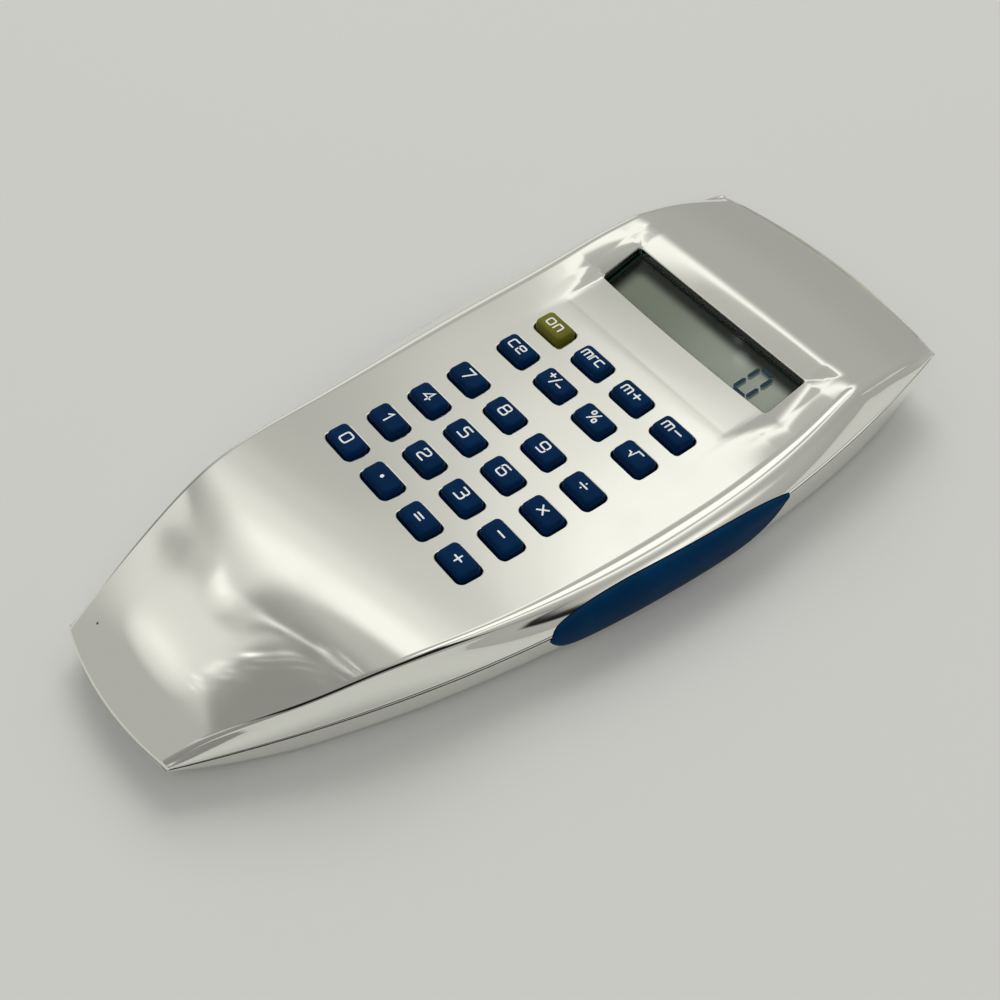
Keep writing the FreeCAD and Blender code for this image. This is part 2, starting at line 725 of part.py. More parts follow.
os.makedirs("parts", exist_ok=True)
for part in subparts:
    part.Shape.exportStep(f"parts/{part.Label}.step")
print(len(subparts), "sub-parts written")
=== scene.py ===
import json
import math

import bpy
import numpy as np
from mathutils import Matrix, Vector


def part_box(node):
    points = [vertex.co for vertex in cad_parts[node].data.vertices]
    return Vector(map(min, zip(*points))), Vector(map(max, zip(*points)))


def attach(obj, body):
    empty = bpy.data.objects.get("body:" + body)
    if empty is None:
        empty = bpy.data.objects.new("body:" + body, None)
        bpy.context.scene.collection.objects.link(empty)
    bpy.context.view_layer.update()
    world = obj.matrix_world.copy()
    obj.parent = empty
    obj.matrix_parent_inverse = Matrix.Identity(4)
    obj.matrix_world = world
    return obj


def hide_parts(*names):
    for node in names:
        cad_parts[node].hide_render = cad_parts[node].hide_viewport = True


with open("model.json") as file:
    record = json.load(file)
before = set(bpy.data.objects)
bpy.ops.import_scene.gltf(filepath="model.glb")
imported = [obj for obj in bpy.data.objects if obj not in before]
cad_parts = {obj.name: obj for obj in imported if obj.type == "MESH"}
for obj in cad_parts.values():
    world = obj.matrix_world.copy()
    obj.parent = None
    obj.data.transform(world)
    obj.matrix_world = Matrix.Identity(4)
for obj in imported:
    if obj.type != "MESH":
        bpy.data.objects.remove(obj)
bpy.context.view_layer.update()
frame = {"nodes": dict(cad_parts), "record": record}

MM = 0.001

# -------- form of the case, in mm

# Along Y: height of the crease between top and side, how far the crease lies inside the
# parting line, and crown of the top across X.
STATIONS = [
    (-76.0, 4.6, 0.4, 0.6), (-70.5, 6.9, 0.8, 1.0), (-66.0, 8.7, 1.3, 1.4),
    (-60.0, 10.3, 1.4, 1.2), (-50.0, 12.1, 1.2, 0.7), (-42.0, 13.4, 1.4, 0.2),
    (-36.0, 13.6, 1.7, 0.0), (-20.0, 12.3, 2.7, 0.0), (0.0, 11.64, 3.6, 0.0),
    (15.0, 12.0, 3.8, 0.0), (30.0, 13.0, 3.6, 0.0), (37.0, 14.1, 3.4, 0.0),
    (43.0, 15.2, 3.3, 0.0), (49.5, 15.8, 3.2, 0.1), (54.0, 15.3, 2.8, 0.2),
    (60.0, 13.9, 2.3, 0.5), (67.0, 11.5, 1.7, 0.7), (76.0, 8.0, 1.0, 0.8),
]
HALF_LENGTH = 73.0
FOOT_BOW, HEAD_BOW = 59.0, 114.0
RIDGE_AT, RIDGE_RISE, RIDGE_SPREAD = 49.2, 0.22, 2.3
BOW_FROM = 50.0
WALL = 1.3
WINDOW_Y, WINDOW_Z, WINDOW_TILT = 40.23, 13.81, math.radians(17.6)
WINDOW_HALF_X, WINDOW_HALF_Y = 20.5, 4.19
WINDOW_ROUND, NEAR_EDGE_BOW = 0.7, 0.45
WINDOW_RIM_ROUND, KEY_RIM_ROUND = 0.22, 0.3
# Height of the dish at the window's near and far edges, then the slopes of its sides: the near
# one falls a little towards the foot and rises again once it is under the deck.
DISH_NEAR, DISH_FAR = 12.85, 15.14
NEAR_FALL, NEAR_RISE, NEAR_TURN = 0.02, 0.06, 8
FAR_SLOPE, END_SLOPE = 0.25, 0.36
DISH_SOFTNESS, BESIDE_SOFTNESS = 0.3, 0.4
KEY_COLUMNS = [-15.4, -5.4, 4.6, 14.6]
KEY_ROWS = [-20.63, -12.69, -4.75, 3.19, 13.48, 21.42]
KEY_HALF_X, KEY_HALF_Y, KEY_HOLE_ROUND = 3.5, 2.3, 1.0
PITCH_X, PITCH_Y = 10.0, 7.94


def spline(points):
    """A natural cubic spline through (x, y) points, as a function of arrays."""
    xs, ys = (np.array(c, float) for c in zip(*points))
    gaps = np.diff(xs)
    slopes = np.diff(ys) / gaps
    count = len(xs)
    system, right = np.eye(count), np.zeros(count)
    for k in range(1, count - 1):
        system[k, k - 1 : k + 2] = gaps[k - 1], 2 * (gaps[k - 1] + gaps[k]), gaps[k]
        right[k] = 6 * (slopes[k] - slopes[k - 1])
    bend = np.linalg.solve(system, right)

    def value(x):
        x = np.asarray(x, float)
        k = np.clip(np.searchsorted(xs, x) - 1, 0, count - 2)
        span, left, ahead = gaps[k], x - xs[k], xs[k + 1] - x
        return (
            (bend[k] * ahead**3 + bend[k + 1] * left**3) / (6 * span)
            + (ys[k] / span - bend[k] * span / 6) * ahead
            + (ys[k + 1] / span - bend[k + 1] * span / 6) * left
        )

    return value


crease_height = spline([(s[0], s[1]) for s in STATIONS])
crease_inset = spline([(s[0], s[2]) for s in STATIONS])
crown = spline([(s[0], s[3]) for s in STATIONS])
crease_round = spline(
    [(-76, 0.5), (-60, 0.7), (-40, 0.9), (-20, 1.4), (20, 1.8), (50, 1.6), (76, 0.7)]
)


def half_width(y):
    return 33.3 - (y - 16.0) ** 2 / 411.0


def parting(y):
    return 5.5 + 4.6 * (y + 70.5) / 141.0


def soft_max(a, b, softness):
    return 0.5 * (a + b + np.sqrt((a - b) ** 2 + softness**2))


def soft_min(a, b, softness):
    return -soft_max(-a, -b, softness)


def dish_height(x, y):
    """The sloping sides of the shallow dish round the window."""
    near, far = WINDOW_Y - WINDOW_HALF_Y, WINDOW_Y + WINDOW_HALF_Y
    rim = DISH_NEAR + (y - near) * (DISH_FAR - DISH_NEAR) / (far - near)
    away = near - y
    approach = DISH_NEAR - NEAR_FALL * away + NEAR_RISE * np.maximum(away - NEAR_TURN, 0)
    along = np.where(y < near, approach, rim)
    along = np.where(y > far, DISH_FAR + FAR_SLOPE * (y - far), along)
    ends = np.clip(rim, DISH_NEAR, DISH_FAR) + END_SLOPE * (np.abs(x) - WINDOW_HALF_X)
    return soft_max(along, ends, 0.12)


def top_height(x, y):
    """Height of the top surface inside the crease."""
    crease_x = half_width(y) - crease_inset(y)
    base = crease_height(y) + crown(y) * (1 - (x / crease_x) ** 2)
    base = base + RIDGE_RISE * np.exp(-(((y - RIDGE_AT) / RIDGE_SPREAD) ** 2))
    beside = np.clip((np.abs(x) - WINDOW_HALF_X) / 3.0, 0, 1) * np.clip((y - 25.0) / 7.0, 0, 1)
    return soft_min(base, dish_height(x, y), DISH_SOFTNESS + BESIDE_SOFTNESS * beside)


def top_normal(x, y):
    """Unit normals of the top surface at arrays x, y, one row each."""
    step = 0.02
    slope_x = (top_height(x + step, y) - top_height(x - step, y)) / (2 * step)
    slope_y = (top_height(x, y + step) - top_height(x, y - step)) / (2 * step)
    normal = np.stack([-slope_x, -slope_y, np.ones_like(slope_x)], axis=-1)
    return normal / np.linalg.norm(normal, axis=-1, keepdims=True)


# -------- mesh helpers


class Shell:
    """A mesh built from points in mm, with a chosen normal for each face corner."""

    def __init__(self):
        self.points, self.faces, self.normals, self.index = [], [], [], {}

    def point(self, p):
        x, y, z = float(p[0]), float(p[1]), float(p[2])
        key = (round(x, 4), round(y, 4), round(z, 4))
        if key not in self.index:
            self.index[key] = len(self.points)
            self.points.append((x * MM, y * MM, z * MM))
        return self.index[key]

    def face(self, corners, normals=None):
        """corners are points; normals are one per corner, or None for a flat face."""
        ids = [self.point(p) for p in corners]
        keep = [k for k in range(len(ids)) if ids[k] != ids[k - 1]]
        if len(keep) < 3:
            return
        self.faces.append([ids[k] for k in keep])
        self.normals.append([normals[k] for k in keep] if normals is not None else None)

    def strip(self, upper, lower, upper_normals=None, lower_normals=None, closed=True,
              turned=False):
        """Faces between two loops of equal length, seen from the side where they turn left, or
        from the other side if turned."""
        if turned:
            upper, lower, upper_normals, lower_normals = lower, upper, lower_normals, upper_normals
        count = len(upper)
        for k in range(count if closed else count - 1):
            m = (k + 1) % count
            chosen = None
            if upper_normals is not None:
                chosen = [upper_normals[k], lower_normals[k], lower_normals[m], upper_normals[m]]
            self.face([upper[k], lower[k], lower[m], upper[m]], chosen)

    def make(self, name, smooth=False):
        """The finished object: with its chosen normals, or smooth all over."""
        mesh = bpy.data.meshes.new(name)
        mesh.from_pydata(self.points, [], self.faces)
        mesh.update()
        for polygon in mesh.polygons:
            polygon.use_smooth = True
        if not smooth:
            loops = []
            for polygon, chosen in zip(mesh.polygons, self.normals):
                if chosen is None:
                    loops += [tuple(polygon.normal)] * polygon.loop_total
                else:
                    loops += [tuple(map(float, n)) for n in chosen]
            mesh.normals_split_custom_set(loops)
        return link(name, mesh)


def link(name, data):
    made = bpy.data.objects.new(name, data)
    bpy.context.scene.collection.objects.link(made)
    return made


def unit(v):
    v = np.asarray(v, float)
    return v / np.maximum(np.linalg.norm(v, axis=-1, keepdims=True), 1e-12)


def rounded_loop(half_x, half_y, radius, steps_x, steps_y, arc_steps):
    """Points and outward normals round a rounded rectangle, turning left from the middle of
    the low corner, with steps_x or steps_y segments from one corner's middle to the next."""
    points, outs = [], []
    corners = [(-1, -1), (1, -1), (1, 1), (-1, 1)]
    for k, (sx, sy) in enumerate(corners):
        steps = steps_x if k % 2 == 0 else steps_y
        nx, ny = corners[(k + 1) % 4]
        here = np.array([sx * (half_x - radius), sy * (half_y - radius)])
        following = np.array([nx * (half_x - radius), ny * (half_y - radius)])
        straight = math.atan2(0, sx) if nx == sx else math.atan2(sy, 0)
        flat = steps - 2 * arc_steps
        for step in range(steps):
            if step <= arc_steps:
                turn, place = step / arc_steps - 1, here
            elif step < steps - arc_steps:
                turn, place = 0, here + (following - here) * (step - arc_steps) / flat
            else:
                turn, place = (step - steps + arc_steps) / arc_steps, following
            angle = straight + math.radians(45) * turn
            out = np.array([math.cos(angle), math.sin(angle)])
            points.append(place + radius * out)
            outs.append(out)
    return np.array(points), np.array(outs)


# -------- upper shell

CELL_STEPS = 12
CORE = np.array([k * PITCH_X / CELL_STEPS for k in range(25)] + [20.8, 21.7, 22.7])
FLANK_STEPS, TURN_STEPS, SIDE_STEPS = 6, 10, 8
HALF_COLUMNS = len(CORE) + FLANK_STEPS + TURN_STEPS + SIDE_STEPS
END_ROUND, END_STEPS = 0.5, 5
SIDE_BULGE = 1.2
SEAM_LIFT = 0.24
WINDOW_CELL = (34.0, 46.6)
WINDOW_ROWS = 16
FOOT_LINES, BREAK_LINES, DECK_LINES, HEAD_LINES = 72, 5, 16, 56
TAPER_FROM, TAPER_LENGTH, TAPER = -27.0, 50.0, 0.6


def core_scale(y):
    """How much the lines along the case draw together towards the foot."""
    t = np.clip((TAPER_FROM - y) / TAPER_LENGTH, 0, 1)
    return 1 - TAPER * t * t * (3 - 2 * t)


def edge_frame(y):
    """Where the top's section turns at its crease, for an array y: the points (x, z) at which
    the turn starts, would meet and ends, and where the side meets the parting line."""
    crease_x = half_width(y) - crease_inset(y)
    turn = crease_round(y)
    stop = crease_x - turn
    step = 0.02
    brow = np.stack([stop, top_height(stop, y)], -1)
    slope = (top_height(stop + step, y) - top_height(stop - step, y)) / (2 * step)
    corner = np.stack([crease_x, brow[..., 1] + slope * turn], -1)
    foot = np.stack([half_width(y), parting(y) + SEAM_LIFT], -1)
    down = unit(foot - corner)
    reach = np.minimum(turn, 0.45 * np.linalg.norm(foot - corner, axis=-1))
    begin = corner + down * reach[..., None]
    return brow, corner, begin, foot


def half_points(y):
    """One point for each column of the right half of the top, with its own y for each."""
    y = np.broadcast_to(np.asarray(y, float), (HALF_COLUMNS,)).copy()
    number = np.arange(HALF_COLUMNS)
    brow, corner, begin, foot = edge_frame(y)
    inner_x = np.append(CORE, np.zeros(HALF_COLUMNS - len(CORE))) * core_scale(y)
    last_core = CORE[-1] * core_scale(y)
    share = np.clip((number - len(CORE) + 1) / FLANK_STEPS, 0, 1)
    flank_x = last_core + (brow[:, 0] - last_core) * share
    x = np.where(number < len(CORE), inner_x, flank_x)
    points = np.stack([x, y, top_height(x, y)], -1)
    first_turn = len(CORE) + FLANK_STEPS
    t = np.clip((number - first_turn + 1) / TURN_STEPS, 0, 1)[:, None]
    curve = (1 - t) ** 2 * brow + 2 * t * (1 - t) * corner + t * t * begin
    s = np.clip((number - first_turn - TURN_STEPS + 1) / SIDE_STEPS, 0, 1)[:, None]
    down = unit(foot - begin)
    outward = np.stack([-down[:, 1], down[:, 0]], -1)
    side = begin + (foot - begin) * s + outward * SIDE_BULGE * s * (1 - s)
    turning = (number >= first_turn) & (number < first_turn + TURN_STEPS)
    falling = number >= first_turn + TURN_STEPS
    for chosen, flat in ((turning, curve), (falling, side)):
        points[chosen, 0], points[chosen, 2] = flat[chosen, 0], flat[chosen, 1]
    return points


def bow(x, nominal):
    """How far a line across the case curves back at x, to follow the bowed end."""
    radius = HEAD_BOW if nominal > 0 else FOOT_BOW
    share = np.clip((abs(nominal) - BOW_FROM) / (HALF_LENGTH - END_ROUND - BOW_FROM), 0, 1)
    share = share * share * (3 - 2 * share)
    return -math.copysign(1, nominal) * share * (radius - np.sqrt(radius**2 - x**2))


def full_row(nominal):
    """The whole line of points across the top at a nominal y."""
    y = np.full(HALF_COLUMNS, float(nominal))
    points = half_points(y)
    if abs(nominal) > BOW_FROM:
        for _ in range(5):
            points = half_points(nominal + bow(points[:, 0], nominal))
    return np.concatenate([points[:0:-1] * np.array([-1, 1, 1]), points])


def row_lines():
    """Nominal Y of every line across the case, and the first line of each cell of keys."""
    low_key = KEY_ROWS[0] - PITCH_Y / 2
    lines = list(np.linspace(-HALF_LENGTH + END_ROUND, low_key, FOOT_LINES))
    cells = []
    for k, row in enumerate(KEY_ROWS):
        if k == 4:
            lines += list(np.linspace(lines[-1], row - PITCH_Y / 2, BREAK_LINES)[1:])
        cells.append(len(lines) - 1)
        lines += list(np.linspace(lines[-1], row + PITCH_Y / 2, CELL_STEPS + 1)[1:])
    lines += list(np.linspace(lines[-1], WINDOW_CELL[0], DECK_LINES)[1:])
    window = len(lines) - 1
    lines += list(np.linspace(*WINDOW_CELL, WINDOW_ROWS + 1)[1:])
    lines += list(np.linspace(lines[-1], HALF_LENGTH - END_ROUND, HEAD_LINES)[1:])
    return lines, cells, window


def row_normals(grid):
    """Normals of the grid of points: exact on the top, by differences round the crease."""
    normals = unit(np.cross(np.gradient(grid, axis=1), np.gradient(grid, axis=0)))
    on_top = len(CORE) + FLANK_STEPS
    middle = HALF_COLUMNS - 1
    flat = slice(middle - on_top + 1, middle + on_top)
    normals[:, flat] = top_normal(grid[:, flat, 0], grid[:, flat, 1])
    return normals


def ring_patch(shell, boundary, boundary_normals, rim, outs, round_over, blends):
    """Fills between a cell's boundary and its hole, rounds the hole's rim and drops its wall."""
    edge_flat = rim + outs * round_over
    out = np.concatenate([outs, np.zeros((len(outs), 1))], axis=1)
    rings = []
    for t in blends:
        flat = boundary[:, :2] * (1 - t) + edge_flat * t
        x, y = flat[:, 0], flat[:, 1]
        rings.append((np.stack([x, y, top_height(x, y)], -1), top_normal(x, y)))
    rings[0] = (boundary, boundary_normals)
    edge, edge_normals = rings[-1]
    for k in range(1, 6):
        turn = math.radians(18 * k)
        points = edge - out * round_over * math.sin(turn)
        points[:, 2] -= round_over * (1 - math.cos(turn))
        rings.append((points, unit(edge_normals * math.cos(turn) - out * math.sin(turn))))
    bottom = rings[-1][0] - np.array([0, 0, WALL - round_over])
    rings.append((bottom, -out))
    for (upper, upper_normals), (lower, lower_normals) in zip(rings, rings[1:]):
        shell.strip(lower, upper, lower_normals, upper_normals)
    shell.strip(boundary - np.array([0, 0, WALL]), bottom)


def cell_path(low_row, high_row, low_col, high_col):
    """Grid indices round a cell, turning left from its low corner."""
    path = [(low_row, c) for c in range(low_col, high_col)]
    path += [(r, high_col) for r in range(low_row, high_row)]
    path += [(high_row, c) for c in range(high_col, low_col, -1)]
    path += [(r, low_col) for r in range(high_row, low_row, -1)]
    return tuple(np.array(path).T)


def window_rim(steps_x, steps_y):
    """The window's rim: rounded at its corners, its near edge bowed a little to the foot."""
    points, outs = rounded_loop(WINDOW_HALF_X, WINDOW_HALF_Y, WINDOW_ROUND, steps_x, steps_y, 3)
    sag = NEAR_EDGE_BOW * np.clip(1 - (points[:, 0] / WINDOW_HALF_X) ** 2, 0, 1)
    near = np.clip(-points[:, 1] / WINDOW_HALF_Y, 0, 1)
    points[:, 1] -= sag * near
    return points + np.array([0, WINDOW_Y]), outs


def upper_shell():
    lines, cells, window = row_lines()
    grid = np.array([full_row(y) for y in lines])
    normals = row_normals(grid)
    middle = HALF_COLUMNS - 1
    holes = []
    for first in cells:
        for column in range(4):
            start = middle + (column - 2) * CELL_STEPS
            holes.append((first, first + CELL_STEPS, start, start + CELL_STEPS))
    reach = len(CORE) - 1
    window_hole = (window, window + WINDOW_ROWS, middle - reach, middle + reach)
    covered = np.zeros(grid.shape[:2], bool)
    for a, b, s, t in holes + [window_hole]:
        covered[a:b, s:t] = True

    within = grid - np.array([0, 0, WALL])
    edge = TURN_STEPS + SIDE_STEPS
    for part in (slice(0, edge), slice(-edge, None)):
        sunk = grid[:, part] - normals[:, part] * WALL
        floor = parting(grid[:, part, 1]) + SEAM_LIFT
        sunk[..., 2] = np.maximum(np.minimum(sunk[..., 2], grid[:, part, 2]), floor)
        within[:, part] = sunk

    shell = Shell()
    rows, columns = grid.shape[:2]
    for r in range(rows - 1):
        for c in range(columns - 1):
            if covered[r, c]:
                continue
            at = [(r, c), (r, c + 1), (r + 1, c + 1), (r + 1, c)]
            shell.face([grid[k] for k in at], [normals[k] for k in at])
            shell.face([within[k] for k in reversed(at)])
    rim, outs = rounded_loop(KEY_HALF_X, KEY_HALF_Y, KEY_HOLE_ROUND, CELL_STEPS, CELL_STEPS, 3)
    for number, hole in enumerate(holes):
        path = cell_path(*hole)
        centre = np.array([KEY_COLUMNS[number % 4], KEY_ROWS[number // 4]])
        ring_patch(shell, grid[path], normals[path], rim + centre, outs, KEY_RIM_ROUND,
                   [0, 0.4, 0.75, 1])
    rim, outs = window_rim(2 * reach, WINDOW_ROWS)
    path = cell_path(*window_hole)
    ring_patch(shell, grid[path], normals[path], rim, outs, WINDOW_RIM_ROUND,
               [0, 0.12, 0.25, 0.38, 0.5, 0.62, 0.73, 0.83, 0.92, 1])
    close_edges(shell, grid, normals, within)
    return shell.make("case_top")


def close_edges(shell, grid, normals, within):
    """The parting edge along both sides, and the rounded, bowed ends."""
    shell.strip(within[:, -1], grid[:, -1], closed=False)
    shell.strip(grid[:, 0], within[:, 0], closed=False)
    for r, way in ((0, -1.0), (len(grid) - 1, 1.0)):
        out = np.array([0, way, 0])
        rings = [(grid[r], normals[r])]
        tall = np.maximum(grid[r][:, 2] - parting(grid[r][:, 1]) - SEAM_LIFT, 0)
        depth = np.minimum(END_ROUND, 0.8 * tall)
        for k in range(1, END_STEPS + 1):
            turn = math.radians(90.0 * k / END_STEPS)
            points = grid[r] + out * END_ROUND * math.sin(turn)
            points[:, 2] = grid[r][:, 2] - depth * (1 - math.cos(turn))
            rings.append((points, unit(normals[r] * math.cos(turn) + out * math.sin(turn))))
        floor = rings[-1][0].copy()
        floor[:, 2] = parting(floor[:, 1]) + SEAM_LIFT
        rings.append((floor, np.broadcast_to(out, floor.shape)))
        for (upper, upper_normals), (lower, lower_normals) in zip(rings, rings[1:]):
            shell.strip(upper, lower, upper_normals, lower_normals, closed=False, turned=way > 0)
        shell.strip(floor, within[r], closed=False, turned=way > 0)


# -------- keys and their legends

CAP_TALL, FLANGE = 3.1, 0.7
STEM_OUTLINE, FLANGE_OUTLINE = (1.2, 1.2, 1.15), (4.0, 2.8, 0.9)
CAP_PROFILE = [
    # half width, half depth, corner radius, height from the cap's top, normal's rise in degrees
    (3.3, 2.1, 0.85, -2.4, 0),
    (3.27, 2.05, 0.85, -1.0, 4),
    (3.22, 1.97, 0.84, -0.62, 12),
    (3.15, 1.86, 0.8, -0.4, 30),
    (3.05, 1.73, 0.74, -0.22, 50),
    (2.93, 1.6, 0.68, -0.11, 63),
    (2.8, 1.47, 0.6, -0.05, 74),
    (2.6, 1.3, 0.5, -0.015, 83),
    (2.3, 1.1, 0.4, 0.0, 89),
    (1.3, 0.6, 0.25, 0.0, 90), (0.3, 0.12, 0.05, 0.0, 90),
]


def rising(outs, degrees):
    angle = math.radians(degrees)
    flat = outs * math.cos(angle)
    return np.concatenate([flat, np.full((len(outs), 1), math.sin(angle))], axis=1)


def key_cap(name):
    """A cap with a soft shoulder, its flange under the plate and its stem on the mat."""
    low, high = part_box(name)
    centre = np.array([(low[0] + high[0]) / 2, (low[1] + high[1]) / 2]) / MM
    top, bottom = high[2] / MM, low[2] / MM
    flange_top = top - CAP_TALL
    shell = Shell()
    loops = []
    stem = [(*STEM_OUTLINE, z, 0) for z in (bottom, flange_top - FLANGE)]
    flange = [(*FLANGE_OUTLINE, z, 0) for z in (flange_top - FLANGE, flange_top)]
    cap = [(a, b, r, top + z, rise) for a, b, r, z, rise in CAP_PROFILE]
    for half_x, half_y, radius, z, rise in stem + flange + cap:
        points, outs = rounded_loop(half_x, half_y, radius, 14, 12, 4)
        points = points + centre
        ring = np.concatenate([points, np.full((len(points), 1), z)], axis=1)
        loops.append((ring, rising(outs, rise)))
    for (lower, lower_normals), (upper, upper_normals) in zip(loops, loops[1:]):
        if abs(lower[0][2] - upper[0][2]) < 1e-6 and upper[0][2] < top - 1:
            shell.strip(upper, lower)
        else:
            shell.strip(upper, lower, upper_normals, lower_normals)
    shell.face(list(loops[-1][0]), [np.array([0, 0, 1.0])] * len(loops[-1][0]))
    shell.face(list(loops[0][0][::-1]))
    return shell.make(name + "_cap"), centre, top


def rounded_path(points, radius, closed):
    """The points of a path with its corners turned into arcs."""
    points = [np.array(p, float) for p in points]
    count = len(points)
    path = []
    for k, p in enumerate(points):
        if radius <= 0 or (not closed and k in (0, count - 1)):
            path.append(p)
            continue
        before, after = points[k - 1], points[(k + 1) % count]
        reach_in, reach_out = np.linalg.norm(before - p), np.linalg.norm(after - p)
        cut = min(radius, 0.48 * reach_in, 0.48 * reach_out)
        start, stop = p + unit(before - p) * cut, p + unit(after - p) * cut
        for step in range(7):
            t = step / 6
            path.append((1 - t) ** 2 * start + 2 * t * (1 - t) * p + t * t * stop)
    return np.array(path)


def ribbon(shell, path, closed, width, low, high, place):
    """A raised line of constant width with rounded ends; place turns (x, y, z) into points."""
    count = len(path)
    if closed:
        ahead = unit(np.roll(path, -1, axis=0) - path)
        behind = unit(path - np.roll(path, 1, axis=0))
    else:
        step = unit(np.diff(path, axis=0))
        ahead = np.vstack([step, step[-1:]])
        behind = np.vstack([step[:1], step])
    tangent = unit(ahead + behind)
    side = np.stack([-tangent[:, 1], tangent[:, 0]], -1)
    lean = np.maximum(np.sum(tangent * ahead, axis=1), 0.5)[:, None]
    left, right = path + side * width / 2 / lean, path - side * width / 2 / lean

    def lift(flat, z):
        return [place(p[0], p[1], z) for p in flat]

    if closed:
        shell.strip(lift(left, high), lift(right, high))
        shell.strip(lift(right, high), lift(right, low))
        shell.strip(lift(left, low), lift(left, high))
        return
    shell.strip(lift(left, high), lift(right, high), closed=False)
    ends = []
    for at, way in ((count - 1, 1.0), (0, -1.0)):
        start = math.atan2(side[at][1], side[at][0]) + (0 if way > 0 else math.pi)
        arc = [path[at] + width / 2 * np.array([math.cos(start - math.pi * k / 8),
                                                math.sin(start - math.pi * k / 8)])
               for k in range(9)]
        shell.face(lift(arc[::-1], high))
        ends.append(arc)
    outline = list(right[::-1]) + ends[1] + list(left) + ends[0]
    shell.strip(lift(outline, low), lift(outline, high))


# Strokes of each sign in a box one unit wide and one high: points, closed or not, rounding.
SIGNS = {
    "0": [([(0, 0), (1, 0), (1, 1), (0, 1)], True, 0.3)],
    "1": [([(0.25, 0.7), (0.62, 1), (0.62, 0)], False, 0)],
    "2": [([(0, 0.8), (0, 1), (1, 1), (1, 0.55), (0, 0.4), (0, 0), (1, 0)], False, 0.3)],
    "3": [([(0.05, 1), (1, 1), (1, 0.52), (0.35, 0.52)], False, 0.28),
          ([(0.35, 0.52), (1, 0.52), (1, 0), (0, 0)], False, 0.28)],
    "4": [([(0.72, 0), (0.72, 1), (0, 0.3), (1, 0.3)], False, 0)],
    "5": [([(0.95, 1), (0.05, 1), (0.05, 0.58), (1, 0.58), (1, 0), (0, 0)], False, 0.26)],
    "6": [([(0.92, 1), (0, 1), (0, 0), (1, 0), (1, 0.58), (0, 0.58)], False, 0.28)],
    "7": [([(0, 1), (1, 1), (0.4, 0)], False, 0)],
    "8": [([(0.05, 0.52), (0.95, 0.52), (0.95, 1), (0.05, 1)], True, 0.24),
          ([(0, 0), (1, 0), (1, 0.52), (0, 0.52)], True, 0.24)],
    "9": [([(0.08, 0), (1, 0), (1, 1), (0, 1), (0, 0.42), (1, 0.42)], False, 0.28)],
    "point": [([(0.5, 0.46), (0.5, 0.54)], False, 0)],
    "=": [([(0.1, 0.3), (0.9, 0.3)], False, 0), ([(0.1, 0.66), (0.9, 0.66)], False, 0)],
    "+": [([(0.5, 0.1), (0.5, 0.9)], False, 0), ([(0.06, 0.5), (0.94, 0.5)], False, 0)],
    "-": [([(0.08, 0.5), (0.92, 0.5)], False, 0)],
    "times": [([(0.12, 0.14), (0.88, 0.86)], False, 0), ([(0.12, 0.86), (0.88, 0.14)], False, 0)],
    "divide": [([(0.05, 0.5), (0.95, 0.5)], False, 0), ([(0.5, 0.15), (0.5, 0.18)], False, 0),
               ([(0.5, 0.82), (0.5, 0.85)], False, 0)],
    "percent": [([(0.14, 0), (0.86, 1)], False, 0),
                ([(-0.05, 0.6), (0.3, 0.6), (0.3, 1), (-0.05, 1)], True, 0.2),
                ([(0.7, 0), (1.05, 0), (1.05, 0.4), (0.7, 0.4)], True, 0.2)],
    "root": [([(-0.1, 0.42), (0.12, 0.42), (0.36, 0), (0.5, 1), (1.15, 1)], False, 0)],
    "slash": [([(0.1, -0.05), (0.9, 1.05)], False, 0)],
    "c": [([(1, 0.7), (0, 0.7), (0, 0), (1, 0)], False, 0.26)],
    "e": [([(0, 0.36), (1, 0.36), (1, 0.7), (0, 0.7), (0, 0), (0.95, 0)], False, 0.22)],
    "o": [([(0, 0), (1, 0), (1, 0.7), (0, 0.7)], True, 0.26)],
    "n": [([(0, 0), (0, 0.7), (1, 0.7), (1, 0)], False, 0.22)],
    "m": [([(0, 0), (0, 0.7), (1, 0.7), (1, 0)], False, 0.18), ([(0.5, 0.7), (0.5, 0)], False, 0)],
    "r": [([(0, 0), (0, 0.7), (1, 0.7)], False, 0.22)],
}

# For each key: its signs as (sign, left edge, low edge, width, height) in mm from the cap's middle.
BIG, SQUARE = (-0.8, -1.0, 1.6, 2.0), (-0.9, -0.9, 1.8, 1.8)
LEGENDS = {"key_" + digit: [(digit, *BIG)] for digit in "0123456789"}
LEGENDS |= {
    "key_point": [("point", -0.5, -0.5, 1.0, 1.0)],
    "key_equals": [("=", *SQUARE)], "key_plus": [("+", *SQUARE)], "key_minus": [("-", *SQUARE)],
    "key_times": [("times", *SQUARE)], "key_divide": [("divide", *SQUARE)],
    "key_percent": [("percent", -0.85, -1.0, 1.7, 2.0)],
    "key_root": [("root", -0.85, -0.9, 1.7, 1.8)],
    "key_sign": [("+", -1.75, -0.05, 1.15, 1.15), ("slash", -0.55, -0.9, 1.1, 1.8),
                 ("-", 0.6, -1.0, 1.2, 1.2)],
    "key_ce": [("c", -1.7, -0.85, 1.3, 2.2), ("e", 0.3, -0.85, 1.3, 2.2)],
    "key_on": [("o", -1.65, -0.8, 1.3, 2.0), ("n", 0.35, -0.8, 1.2, 2.0)],
    "key_mrc": [("m", -2.2, -0.7, 1.6, 1.9), ("r", -0.15, -0.7, 0.7, 1.9),
                ("c", 1.05, -0.7, 1.1, 1.9)],
    "key_m_plus": [("m", -2.0, -0.7, 1.7, 1.9), ("+", 0.3, -0.75, 1.6, 1.6)],
    "key_m_minus": [("m", -2.0, -0.7, 1.7, 1.9), ("-", 0.3, -0.75, 1.6, 1.6)],
}
STROKE, POINT_WIDE = 0.29, 0.62
LEGEND_PROUD, STROKE_STEP = 0.02, 0.004


